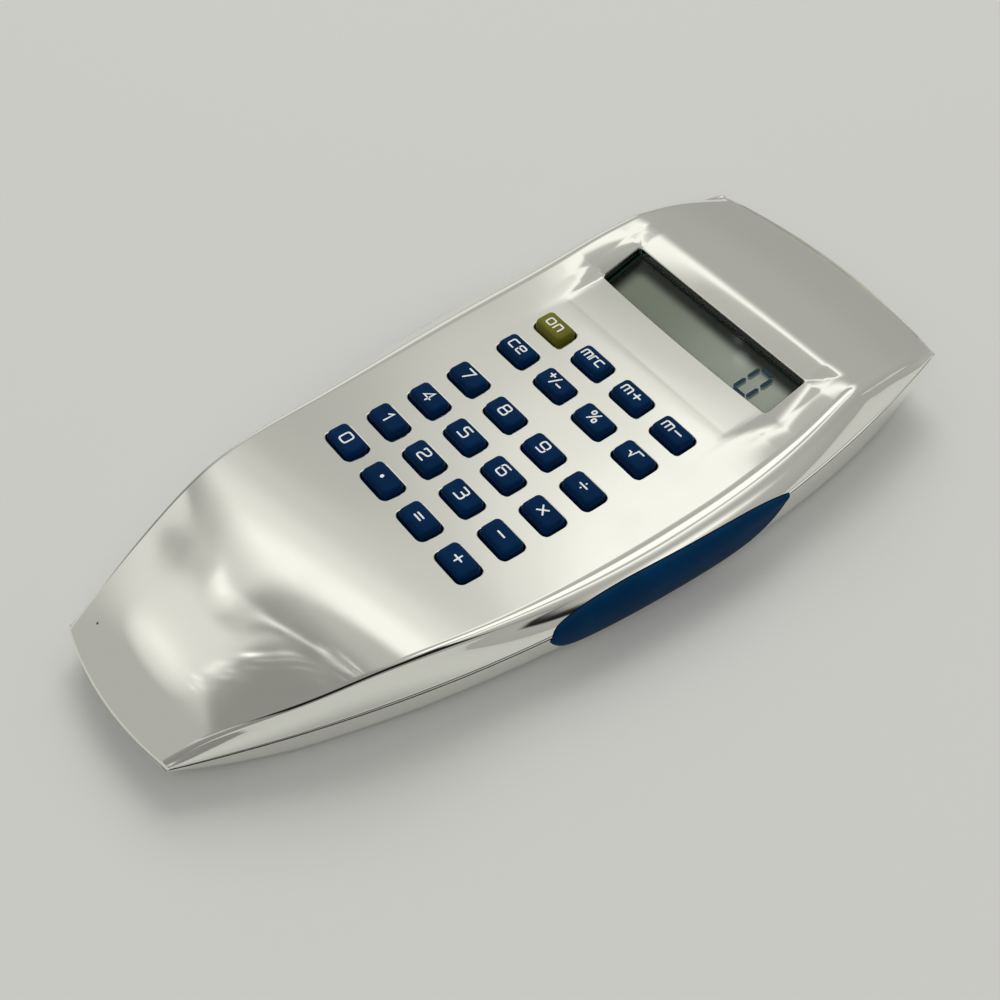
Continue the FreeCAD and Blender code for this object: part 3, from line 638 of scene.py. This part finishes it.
def legend(name, centre, top):
    """The signs on a cap. Each stroke stands a little over the last, so none lie in one plane."""
    shell = Shell()
    lift = top + LEGEND_PROUD
    for sign, left, low, width, height in LEGENDS[name]:
        stroke = POINT_WIDE if sign == "point" else STROKE
        for points, closed, rounding in SIGNS[sign]:
            lift += STROKE_STEP
            scaled = [(left + x * width, low + y * height) for x, y in points]
            path = rounded_path(scaled, rounding * width, closed)
            ribbon(shell, path, closed, stroke, top - LEGEND_PROUD, lift,
                   lambda x, y, z: np.array([centre[0] + x, centre[1] + y, z]))
    return shell.make(name + "_legend")


# -------- display


def display_point(u, v, n):
    """A point in the tilted frame of the window: u across, v up the display, n out of it."""
    c, s = math.cos(WINDOW_TILT), math.sin(WINDOW_TILT)
    return np.array([u, WINDOW_Y + v * c - n * s, WINDOW_Z + v * s + n * c])


def plate_ring(shell, outer, inner, low, high):
    """A flat frame between two rectangles (u0, v0, u1, v1), from n = low to n = high."""

    def corners(r):
        return [(r[0], r[1]), (r[2], r[1]), (r[2], r[3]), (r[0], r[3])]

    def lift(flat, n):
        return [display_point(u, v, n) for u, v in flat]

    out, hole = corners(outer), corners(inner)
    shell.strip(lift(hole, high), lift(out, high))
    shell.strip(lift(out, high), lift(out, low))
    shell.strip(lift(out, low), lift(hole, low))
    shell.strip(lift(hole, low), lift(hole, high))


# Heights over the window's plane, and outlines across and up the display.
LCD_FACE, SLEEVE_TOP, EDGE_LOW, EDGE_HIGH = -2.35, -1.15, -1.9, -1.6
SLEEVE_OUTER, SLEEVE_INNER = (-21.3, -5.3, 21.3, 5.0), (-20.35, -4.5, 20.35, 4.25)
EDGE_OUTER, EDGE_INNER = (-20.4, -4.5, 20.4, 4.28), (-19.9, -4.45, 20.3, 3.95)
SEGMENT_TALL = 0.02
SHADE_SHIFT, SEGMENT_LIFT = (0.35, -0.3), 0.04
SEGMENT_WIDTH, SEGMENT_GAP, DIGIT_LEAN = 0.74, 0.14, 0.14
DIGIT_U, DIGIT_V, DIGIT_W, DIGIT_H = 11.4, -3.5, 3.0, 5.6


def digit_zero(name, shift_u, shift_v, n):
    """The six lit segments of a nought, as thin leaning bars with pointed ends."""
    w, h, t = DIGIT_W, DIGIT_H, SEGMENT_WIDTH
    runs = [((0, 0), (w, 0)), ((0, h), (w, h)), ((0, 0), (0, h / 2)), ((0, h / 2), (0, h)),
            ((w, 0), (w, h / 2)), ((w, h / 2), (w, h))]
    shell = Shell()
    for start, stop in runs:
        start, stop = np.array(start, float), np.array(stop, float)
        along = unit(stop - start)
        side = np.array([-along[1], along[0]])
        a, b = start + along * SEGMENT_GAP, stop - along * SEGMENT_GAP
        outline = [a, a + (along - side) * t / 2, b - (along + side) * t / 2, b,
                   b - (along - side) * t / 2, a + (along + side) * t / 2]
        flat = [(DIGIT_U + shift_u + p[0] + DIGIT_LEAN * p[1], DIGIT_V + shift_v + p[1])
                for p in outline]
        upper = [display_point(u, v, n + SEGMENT_TALL) for u, v in flat]
        lower = [display_point(u, v, n) for u, v in flat]
        shell.face(upper)
        shell.strip(upper, lower)
    return shell.make(name)


# -------- grips


def side_point(y, h):
    """A point on the right flank h above the parting line (below it if negative), with the
    outward normal there."""

    def at(h):
        _, _, begin, foot = edge_frame(np.array([y]))
        begin, foot = begin[0], foot[0]
        if h >= 0:
            s = 1 - h / (begin[1] - foot[1])
            down = unit(foot - begin)
            outward = np.array([-down[1], down[0]])
            x, z = begin + (foot - begin) * s + outward * SIDE_BULGE * s * (1 - s)
            return np.array([x, y, z])
        under, inset = float(under_height(y)), float(under_inset(y))
        t = UNDER_T
        side = float(half_width(y))
        p0, p1 = np.array([side, parting(y)]), np.array([side + 0.2, under + 0.4])
        p2 = np.array([side - inset, under])
        curve = (1 - t) ** 2 * p0 + 2 * t * (1 - t) * p1 + t * t * p2
        z = max(parting(y) + h, under + 0.02)
        x = np.interp(-z, -curve[:, 1], curve[:, 0])
        return np.array([x, y, z])

    here = at(h)
    up = at(h + 0.15) - at(h - 0.15)
    step = 0.3
    ahead_x = float(half_width(y + step) - half_width(y - step)) / (2 * step)
    normal = unit(np.cross(np.array([ahead_x, 1.0, 0]), up))
    return here, normal


UNDER_T = np.linspace(0, 1, 60)[:, None]
under_height = spline([(-76, 5.0), (-70.5, 4.3), (-66, 2.6), (-60, 1.1), (-50, 0.4), (-42, 0.4),
                       (-20, 0.4), (0, 0.4), (15, 0.4), (30, 0.4), (49.5, 0.4), (54, 0.6), (60, 1.7)])
under_inset = spline([(-76, 1.0), (-66, 1.9), (-50, 2.4), (-36, 3.1), (-20, 4.2), (0, 4.2), (15, 3.5),
                      (30, 2.6), (43, 2.2), (54, 2.3), (60, 2.4)])
GRIP_ABOVE = [(-15.9, -0.6), (-15.0, 0.75), (-13.0, 1.5), (-8.0, 2.0), (7.0, 1.75), (20.0, 1.2),
              (27.0, 0.6), (30.0, 0.1)]
GRIP_BELOW = [(-15.9, -0.6), (-15.0, -2.1), (-10.0, -4.6), (3.0, -6.2), (17.0, -6.3), (25.0, -4.1),
              (28.6, -1.5), (30.0, 0.1)]
GRIP_PROUD, GRIP_DEEP, GRIP_EDGE = 0.5, 0.9, 0.6
GRIP_STEPS, GRIP_BANDS = 60, 10
# The grip on the far side stands less proud, and its part over the parting line is lower.
FAR_GRIP_PROUD, FAR_GRIP_TOP = 0.12, 0.2
# A black band a little wider than each grip, just proud of the flank: painted shadow in place of the
# gap round the grip.
SHADOW_BAND_GROW, SHADOW_BAND_PROUD, SHADOW_BAND_EDGE = 0.14, 0.03, 0.05


def along_curve(points, count):
    """count + 1 points evenly spread along a smooth curve through the given ones."""
    points = np.array(points, float)
    length = np.append(0, np.cumsum(np.linalg.norm(np.diff(points, axis=0), axis=1)))
    by_y, by_h = (spline(list(zip(length, points[:, k]))) for k in (0, 1))
    s = np.linspace(0, length[-1], count + 1)
    return np.stack([by_y(s), by_h(s)], -1)


def grip(name, side, grow, proud, round_over):
    """A domed inlay with a rounded edge, laid on the flank. grow widens its outline."""
    above, below = along_curve(GRIP_ABOVE, GRIP_STEPS), along_curve(GRIP_BELOW, GRIP_STEPS)
    if side < 0:
        above[:, 1] = np.minimum(above[:, 1], FAR_GRIP_TOP * above[:, 1])
    loop = np.concatenate([below[:-1], above[:0:-1]])
    tangent = unit(np.roll(loop, -1, axis=0) - np.roll(loop, 1, axis=0))
    outward = np.stack([tangent[:, 1], -tangent[:, 0]], -1)
    levels = [(0, -GRIP_DEEP), (0, 0)]
    for turn in np.radians([18, 36, 54, 72, 90]):
        levels.append((round_over * (1 - math.cos(turn)), proud * math.sin(turn)))
    rings = []
    for inset, height in levels:
        flat = loop + outward * (grow - inset)
        rings.append([flank_place(side, y, h, height) for y, h in flat])
    shell = Shell()
    for outer, inner in zip(rings, rings[1:]):
        shell.strip(inner, outer, turned=side < 0)
    grip_face(shell, side, loop + outward * (grow - round_over), proud, side > 0)
    grip_face(shell, side, loop + outward * grow, -GRIP_DEEP, side < 0)
    return shell.make(name, smooth=True)


def grip_face(shell, side, loop, height, turned):
    """Bands of faces from the lower to the upper half of the loop, at a height on the flank."""
    half = len(loop) // 2
    lower, upper = loop[: half + 1], np.concatenate([loop[:1], loop[: half - 1 : -1]])
    rows = []
    for share in np.arange(GRIP_BANDS + 1) / GRIP_BANDS:
        flat = lower * (1 - share) + upper * share
        rows.append([flank_place(side, y, h, height) for y, h in flat])
    for first, second in zip(rows, rows[1:]):
        shell.strip(first, second, closed=False, turned=turned)


def flank_place(side, y, h, height):
    p, normal = side_point(float(y), float(h))
    p = p + normal * height
    return np.array([p[0] * side, p[1], p[2]])


# The joint in the parting line: where it begins and ends along Y, then its section as insets
# from the case's side and heights over the parting line.
SEAM_ENDS = (-HALF_LENGTH + 3.6, HALF_LENGTH - 5.2)
SEAM_SECTION = [(0.16, 0.36), (0.16, -0.3), (0.9, -0.3), (0.9, 0.36)]


def seam_band():
    """The dark joint that shows in the gap of the parting line along both sides."""
    shell = Shell()
    ys = np.linspace(*SEAM_ENDS, 120)
    for side in (1.0, -1.0):
        loops = []
        for inset, lift in SEAM_SECTION:
            loops.append(np.stack([(half_width(ys) - inset) * side, ys, parting(ys) + lift], -1))
        for first, second in zip(loops, loops[1:] + loops[:1]):
            shell.strip(first, second, closed=False, turned=side < 0)
        for end in (0, -1):
            shell.face([loop[end] for loop in loops])
    return shell.make("case_seam")


# -------- materials


def material(name, colour, roughness, metallic=0.0, **more):
    made = bpy.data.materials.new(name)
    made.use_nodes = True
    shader = made.node_tree.nodes["Principled BSDF"]
    shader.inputs["Base Color"].default_value = (*colour, 1.0)
    shader.inputs["Roughness"].default_value = roughness
    shader.inputs["Metallic"].default_value = metallic
    for socket, value in more.items():
        shader.inputs[socket.replace("_", " ")].default_value = value
    return made


class Graph:
    """Makes the nodes of one material or world that work on its coordinates."""

    def __init__(self, owner, space):
        self.nodes, self.links = owner.node_tree.nodes, owner.node_tree.links
        self.place = self.nodes.new("ShaderNodeTexCoord").outputs[space]
        split = self.nodes.new("ShaderNodeSeparateXYZ")
        self.links.new(self.place, split.inputs["Vector"])
        self.x, self.y, self.z = (split.outputs[axis] for axis in "XYZ")

    def spread(self, output, low, high, first=0.0, last=1.0):
        """first where the output is at low, last where it is at high, smooth between them."""
        node = self.nodes.new("ShaderNodeMapRange")
        node.interpolation_type = "SMOOTHSTEP"
        settings = {"From Min": low, "From Max": high, "To Min": first, "To Max": last}
        for socket, value in settings.items():
            node.inputs[socket].default_value = value
        self.links.new(output, node.inputs["Value"])
        return node.outputs["Result"]

    def math(self, operation, a, b):
        node = self.nodes.new("ShaderNodeMath")
        node.operation = operation
        for socket, value in zip(node.inputs, (a, b)):
            if isinstance(value, (int, float)):
                socket.default_value = value
            else:
                self.links.new(value, socket)
        return node.outputs["Value"]

    def times(self, *factors):
        product = factors[0]
        for factor in factors[1:]:
            product = self.math("MULTIPLY", product, factor)
        return product

    def along(self, direction):
        node = self.nodes.new("ShaderNodeVectorMath")
        node.operation = "DOT_PRODUCT"
        self.links.new(self.place, node.inputs[0])
        node.inputs[1].default_value = direction
        return node.outputs["Value"]

    def zone(self, edges):
        """1 where every soft edge (direction, outside, inside) is passed, 0 elsewhere."""
        return self.times(*[self.spread(self.along(way), low, high) for way, low, high in edges])

    def cone(self, direction, inner, outer, level):
        """A factor: level inside a cone about direction, 1 outside it (degrees)."""
        near, far = math.cos(math.radians(inner)), math.cos(math.radians(outer))
        return self.spread(self.along(tuple(unit(direction))), far, near, 1.0, level)

    def blend(self, share, outside, inside):
        """outside where share is 0, inside where it is 1."""
        node = self.nodes.new("ShaderNodeMix")
        for socket, value in (("Factor", share), ("A", outside), ("B", inside)):
            self.links.new(value, node.inputs[socket])
        return node.outputs["Result"]


def coordinates(made):
    """The piece's own coordinates, in metres."""
    return made.node_tree.nodes.new("ShaderNodeTexCoord").outputs["Object"]


def noise(made, scale, detail=2.0):
    node = made.node_tree.nodes.new("ShaderNodeTexNoise")
    node.inputs["Scale"].default_value = scale
    node.inputs["Detail"].default_value = detail
    made.node_tree.links.new(coordinates(made), node.inputs["Vector"])
    return node.outputs["Fac"]


def ramp(made, value, stops):
    """A colour ramp with smooth steps; stops are (place, colour)."""
    node = made.node_tree.nodes.new("ShaderNodeValToRGB")
    node.color_ramp.interpolation = "EASE"
    elements = node.color_ramp.elements
    while len(elements) < len(stops):
        elements.new(0.5)
    for element, (place, colour) in zip(elements, stops):
        element.position = place
        element.color = (*colour, 1.0)
    made.node_tree.links.new(value, node.inputs["Fac"])
    return node.outputs["Color"]


def bump(made, height, strength, distance):
    node = made.node_tree.nodes.new("ShaderNodeBump")
    node.inputs["Strength"].default_value = strength
    node.inputs["Distance"].default_value = distance
    made.node_tree.links.new(height, node.inputs["Height"])
    shader = made.node_tree.nodes["Principled BSDF"]
    made.node_tree.links.new(node.outputs["Normal"], shader.inputs["Normal"])


def feed(made, output, socket):
    shader = made.node_tree.nodes["Principled BSDF"]
    made.node_tree.links.new(output, shader.inputs[socket])


SILVER = (0.93, 0.93, 0.875)


def silver_plate():
    """Mirror silver with a soft haze and a few dark pinholes."""
    made = material("silver_plate", SILVER, 0.06, 1.0)
    haze = noise(made, 90.0, 3.0)
    feed(made, ramp(made, haze, [(0.35, (0.05,) * 3), (0.75, (0.1,) * 3)]), "Roughness")
    spots = made.node_tree.nodes.new("ShaderNodeTexVoronoi")
    spots.inputs["Scale"].default_value = 60.0
    made.node_tree.links.new(coordinates(made), spots.inputs["Vector"])
    tint = ramp(made, spots.outputs["Distance"], [(0.01, (0.03, 0.025, 0.02)), (0.02, SILVER)])
    feed(made, tint, "Base Color")
    return made


# The pieces that are mostly hidden: colour, roughness.
PLAIN = {
    "mat_rubber": ((0.35, 0.36, 0.38), 0.7),
    "black_foam": ((0.01, 0.01, 0.012), 0.6),
    "reflector_film": ((0.6, 0.63, 0.6), 0.5),
    "black_plastic": ((0.015, 0.015, 0.017), 0.45),
    "zebra_rubber": ((0.2, 0.2, 0.22), 0.6),
    "board_laminate": ((0.02, 0.2, 0.08), 0.3),
    "black_epoxy": ((0.01, 0.01, 0.01), 0.15),
    "chip_ceramic": ((0.05, 0.05, 0.055), 0.5),
    "foot_rubber": ((0.03, 0.03, 0.032), 0.8),
    "legend_ink": ((0.86, 0.88, 0.87), 0.45),
    "segment_ink": ((0.012, 0.06, 0.12), 0.5),
    "segment_shade": ((0.2, 0.27, 0.27), 0.5),
    "joint_black": ((0.008, 0.009, 0.012), 0.5),
    "window_sleeve": ((0.003, 0.005, 0.004), 0.7),
    "lens_edge": ((0.012, 0.06, 0.04), 0.5),
    "can_aluminium": ((0.75, 0.76, 0.78), 0.3),
    "cell_steel": ((0.7, 0.7, 0.68), 0.25),
    "contact_metal": ((0.8, 0.66, 0.35), 0.25),
    "screw_steel": ((0.62, 0.62, 0.63), 0.3),
}
METALS = {"can_aluminium", "cell_steel", "contact_metal", "screw_steel"}


def plain_set():
    """A material for each row of the table, with fine grain; the blackest ones are matt."""
    made = {}
    for name, (colour, roughness) in PLAIN.items():
        sheen = 0.05 if max(colour) < 0.02 else 0.5
        metallic = 1.0 if name in METALS else 0.0
        one = material(name, colour, roughness, metallic, Specular_IOR_Level=sheen)
        grain = noise(one, 900.0, 3.0)
        bump(one, grain, 0.15, 0.0002)
        dark = tuple(c * 0.85 for c in colour)
        feed(one, ramp(one, grain, [(0.3, dark), (0.7, colour)]), "Base Color")
        made[name] = one
    return made


def satin_plastic(name, colour, roughness=0.42, specular=0.3):
    """Satin moulded plastic with a fine sparkle texture."""
    made = material(name, colour, roughness, Specular_IOR_Level=specular)
    grain = noise(made, 2600.0, 2.0)
    bump(made, grain, 0.12, 0.0001)
    cloud = noise(made, 160.0, 2.0)
    low, high = tuple(c * 0.88 for c in colour), tuple(min(1, c * 1.12) for c in colour)
    feed(made, ramp(made, cloud, [(0.3, low), (0.7, high)]), "Base Color")
    return made


LCD_DARK, LCD_LIGHT, LCD_SHADE = (0.39, 0.42, 0.345), (0.68, 0.69, 0.635), (0.01, 0.015, 0.012)
# Where the shade at the left and far edges of the display ends, and how wide its colours run.
LEFT_SHADE, FAR_SHADE, LCD_REACH = (-20.2, -16.0), (44.0, 41.0), 20.0


def lcd_surface():
    """Grey-green liquid crystal, lighter to the right, in the shade of its frame at the far
    and left edges."""
    made = material("lcd_glass", LCD_DARK, 0.35, Specular_IOR_Level=0.3)
    graph = Graph(made, "Object")
    across = graph.spread(graph.x, -LCD_REACH * MM, LCD_REACH * MM)
    base = ramp(made, across, [(0.0, LCD_DARK), (1.0, LCD_LIGHT)])
    lit = graph.times(*(graph.spread(place, low * MM, high * MM)
                        for place, (low, high) in ((graph.x, LEFT_SHADE), (graph.y, FAR_SHADE))))
    shade = ramp(made, lit, [(0.0, LCD_SHADE), (1.0, (1, 1, 1))])
    mix = graph.nodes.new("ShaderNodeMix")
    mix.data_type, mix.blend_type = "RGBA", "MULTIPLY"
    mix.inputs["Factor"].default_value = 1.0
    graph.links.new(base, mix.inputs["A"])
    graph.links.new(shade, mix.inputs["B"])
    feed(made, mix.outputs["Result"], "Base Color")
    bump(made, noise(made, 1500.0, 2.0), 0.08, 0.0001)
    return made


def lens_clear():
    """A thin clear window: it lets light straight through and mirrors a little at a slant."""
    made = bpy.data.materials.new("clear_lens")
    made.use_nodes = True
    nodes, links = made.node_tree.nodes, made.node_tree.links
    nodes.clear()
    through, mirror, slant, mix, out = (
        nodes.new("ShaderNode" + kind)
        for kind in ("BsdfTransparent", "BsdfGlossy", "Fresnel", "MixShader", "OutputMaterial")
    )
    through.inputs["Color"].default_value = (0.95, 0.967, 0.95, 1)
    mirror.inputs["Roughness"].default_value = 0.03
    slant.inputs["IOR"].default_value = 1.35
    links.new(slant.outputs["Fac"], mix.inputs["Fac"])
    links.new(through.outputs["BSDF"], mix.inputs[1])
    links.new(mirror.outputs["BSDF"], mix.inputs[2])
    links.new(mix.outputs["Shader"], out.inputs["Surface"])
    return made


def paint(obj, made):
    obj.data.materials.clear()
    obj.data.materials.append(made)


# -------- build


def place_piece(obj, finish, body="case", replaces=()):
    paint(obj, finish)
    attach(obj, body)
    if replaces:
        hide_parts(*replaces)


silver = silver_plate()
finishes = plain_set()
finishes["silver_plate"] = silver
finishes["grip_rubber"] = satin_plastic("grip_rubber", (0.0005, 0.027, 0.082), 0.5, 0.05)
finishes["key_navy"] = satin_plastic("key_navy", (0.0005, 0.018, 0.066), 0.42, 0.05)
finishes["key_olive"] = satin_plastic("key_olive", (0.125, 0.125, 0.01), 0.42, 0.2)
finishes["lcd_glass"] = lcd_surface()
finishes["clear_lens"] = lens_clear()

for row in frame["record"]["subparts"]:
    paint(frame["nodes"][row["node"]], finishes[row["material_slot"]])

place_piece(upper_shell(), silver, replaces=("top_shell",))
place_piece(seam_band(), finishes["joint_black"])

for name in LEGENDS:
    slot = "key_olive" if name == "key_on" else "key_navy"
    cap, centre, top = key_cap(name)
    place_piece(cap, finishes[slot], name, (name,))
    place_piece(legend(name, centre, top), finishes["legend_ink"], name)

sleeve = Shell()
plate_ring(sleeve, SLEEVE_OUTER, SLEEVE_INNER, LCD_FACE, SLEEVE_TOP)
place_piece(sleeve.make("window_sleeve"), finishes["window_sleeve"])
lens_edge = Shell()
plate_ring(lens_edge, EDGE_OUTER, EDGE_INNER, EDGE_LOW, EDGE_HIGH)
place_piece(lens_edge.make("lens_edge"), finishes["lens_edge"])
segments = digit_zero("digit_segments", 0, 0, LCD_FACE + SEGMENT_LIFT)
place_piece(segments, finishes["segment_ink"])
place_piece(digit_zero("digit_shade", *SHADE_SHIFT, LCD_FACE), finishes["segment_shade"])

for side, name in ((1.0, "right"), (-1.0, "left")):
    proud = GRIP_PROUD if side > 0 else FAR_GRIP_PROUD
    pad = grip("grip_pad_" + name, side, 0.0, proud, GRIP_EDGE)
    # The black band round each pad is a painted shadow line along the grip's edge.
    joint = grip("grip_shadow_band_" + name, side, SHADOW_BAND_GROW, SHADOW_BAND_PROUD, SHADOW_BAND_EDGE)
    place_piece(pad, finishes["grip_rubber"], replaces=("grip_" + name,))
    place_piece(joint, finishes["joint_black"])


# -------- floor, light and camera


TABLE_TOP, TABLE_REACH = -0.00002, 3.0  # the top is just clear of the rubber feet
TABLE_COLOUR = (0.645, 0.65, 0.632)


def floor():
    mesh = bpy.data.meshes.new("table_top")
    ways = [(-1, -1), (1, -1), (1, 1), (-1, 1)]
    corners = [(x * TABLE_REACH, y * TABLE_REACH, TABLE_TOP) for x, y in ways]
    mesh.from_pydata(corners, [], [(0, 1, 2, 3)])
    made = link("table_top", mesh)
    paint(made, material("table_paint", TABLE_COLOUR, 0.6))


def area_light(name, place, size, power, colour):
    """A lamp aimed at the case that the polished metal doesn't mirror."""
    data = bpy.data.lights.new(name, "AREA")
    data.shape = "RECTANGLE"
    data.size, data.size_y = size
    data.energy = power
    data.color = colour
    lamp = link(name, data)
    lamp.location = place
    lamp.rotation_euler = (-Vector(place)).to_track_quat("-Z", "Y").to_euler()
    lamp.visible_glossy = False


# The room as the polished case mirrors it: sine of the elevation, then brightness.
ROOM = [(0.0, 0.37), (0.62, 0.42), (0.69, 0.48), (0.73, 0.6), (0.766, 0.78), (0.797, 1.0),
        (0.818, 1.0), (0.842, 0.48), (0.9, 0.43), (1.0, 0.46)]
ROOM_TINT = (1.0, 1.0, 0.95)
FOOT_SIDE = (-0.02, 0.16, 0.62, 1.0)  # along Y: where it dims and where it is full, its levels
# Cones of the room that are brighter: direction, inner and outer angle, factor.
CONES = [
    ((0.10, 0.38, 0.92), 6.0, 13.0, 2.6),
    ((-0.886, 0.378, 0.268), 6.0, 14.0, 1.9),
]
# Zones of the room between soft edges. An edge is a direction, then how far along it the edge's
# outside and inside lie.
ACROSS, AHEAD, UP = (1, 0, 0), (0, 1, 0), (0, 0, 1)
# A pale sheet that leans up on the foot's side.
SHEET = [(AHEAD, -0.016, -0.03), ((-0.65, 1, 0), 0.396, 0.378), ((1.6, 1, 0), -0.79, -0.83)]
SHEET_LEVELS = (-0.5, -0.02, 0.44, 0.74)
SHEET_GLOW = ((-0.561, -0.286, 0.777), 2.0, 14.0, 1.4)
# A thin bright line along the sheet's edge.
BRIGHT_LINE = [(AHEAD, -0.012, -0.006), (AHEAD, 0.002, -0.004),
               (ACROSS, -0.62, -0.6), (ACROSS, -0.44, -0.5)]
LINE_LEVEL = 0.7
# A row of small lamps.
LAMPS = [(UP, 0.876, 0.884), (UP, 0.902, 0.896), (ACROSS, -0.37, -0.42), (AHEAD, 0.09, 0.06)]
LAMP_GRAIN, LAMP_DOT, LAMP_LEVEL = 52.0, (0.34, 0.2), 1.6
# The dark figure on the near side of the table.
FIGURE = [(UP, 0.3, 0.42), (UP, 0.9, 0.84), (AHEAD, -0.52, -0.46), (AHEAD, 0.3, 0.25),
          (ACROSS, 0.2, 0.32)]
FIGURE_LEVEL = 0.02
# Lights: place, size, power and colour.
LIGHTS = {
    "window_light": ((-0.9, 0.75, 1.2), (1.1, 1.1), 14.0, (1.0, 0.99, 0.97)),
    "fill_light": ((0.9, -0.7, 1.3), (1.4, 1.4), 9.0, (1, 1, 1)),
}


def studio():
    world = bpy.data.worlds.new("studio")
    bpy.context.scene.world = world
    world.use_nodes = True
    room = Graph(world, "Generated")
    band = ramp(world, room.z, [(z, (v, v, v)) for z, v in ROOM])
    level = room.times(band, room.spread(room.y, *FOOT_SIDE))
    for cone in CONES:
        level = room.times(level, room.cone(*cone))
    pale = room.times(room.spread(room.y, *SHEET_LEVELS), room.cone(*SHEET_GLOW))
    level = room.blend(room.zone(SHEET), level, pale)
    level = room.math("ADD", level, room.times(room.zone(BRIGHT_LINE), LINE_LEVEL))
    grain = room.nodes.new("ShaderNodeTexVoronoi")
    grain.inputs["Scale"].default_value = LAMP_GRAIN
    room.links.new(room.place, grain.inputs["Vector"])
    lamps = room.times(room.spread(grain.outputs["Distance"], *LAMP_DOT), room.zone(LAMPS))
    level = room.math("ADD", level, room.times(lamps, LAMP_LEVEL))
    level = room.times(level, room.spread(room.zone(FIGURE), 0.0, 1.0, 1.0, FIGURE_LEVEL))

    tint = room.nodes.new("ShaderNodeVectorMath")
    tint.operation = "SCALE"
    tint.inputs[0].default_value = ROOM_TINT
    room.links.new(level, tint.inputs["Scale"])
    room.links.new(tint.outputs["Vector"], room.nodes["Background"].inputs["Color"])
    for name, light in LIGHTS.items():
        area_light(name, *light)


LENS, SENSOR = 52.87, 36.0
CAMERA_PLACE, CAMERA_AIM = Vector((0.12312, -0.09348, 0.18662)), Vector((0.00573, -0.00627, 0.008))
CAMERA_ROLL = math.radians(-0.527)


def camera():
    data = bpy.data.cameras.new("camera")
    data.sensor_width, data.lens = SENSOR, LENS
    data.clip_start, data.clip_end = 0.01, 20.0
    made = link("camera", data)
    turn = (CAMERA_AIM - CAMERA_PLACE).to_track_quat("-Z", "Y").to_matrix().to_4x4()
    rolled = turn @ Matrix.Rotation(CAMERA_ROLL, 4, "Z")
    made.matrix_world = Matrix.Translation(CAMERA_PLACE) @ rolled
    bpy.context.scene.camera = made


floor()
studio()
camera()
bpy.context.scene.view_settings.view_transform = "Standard"
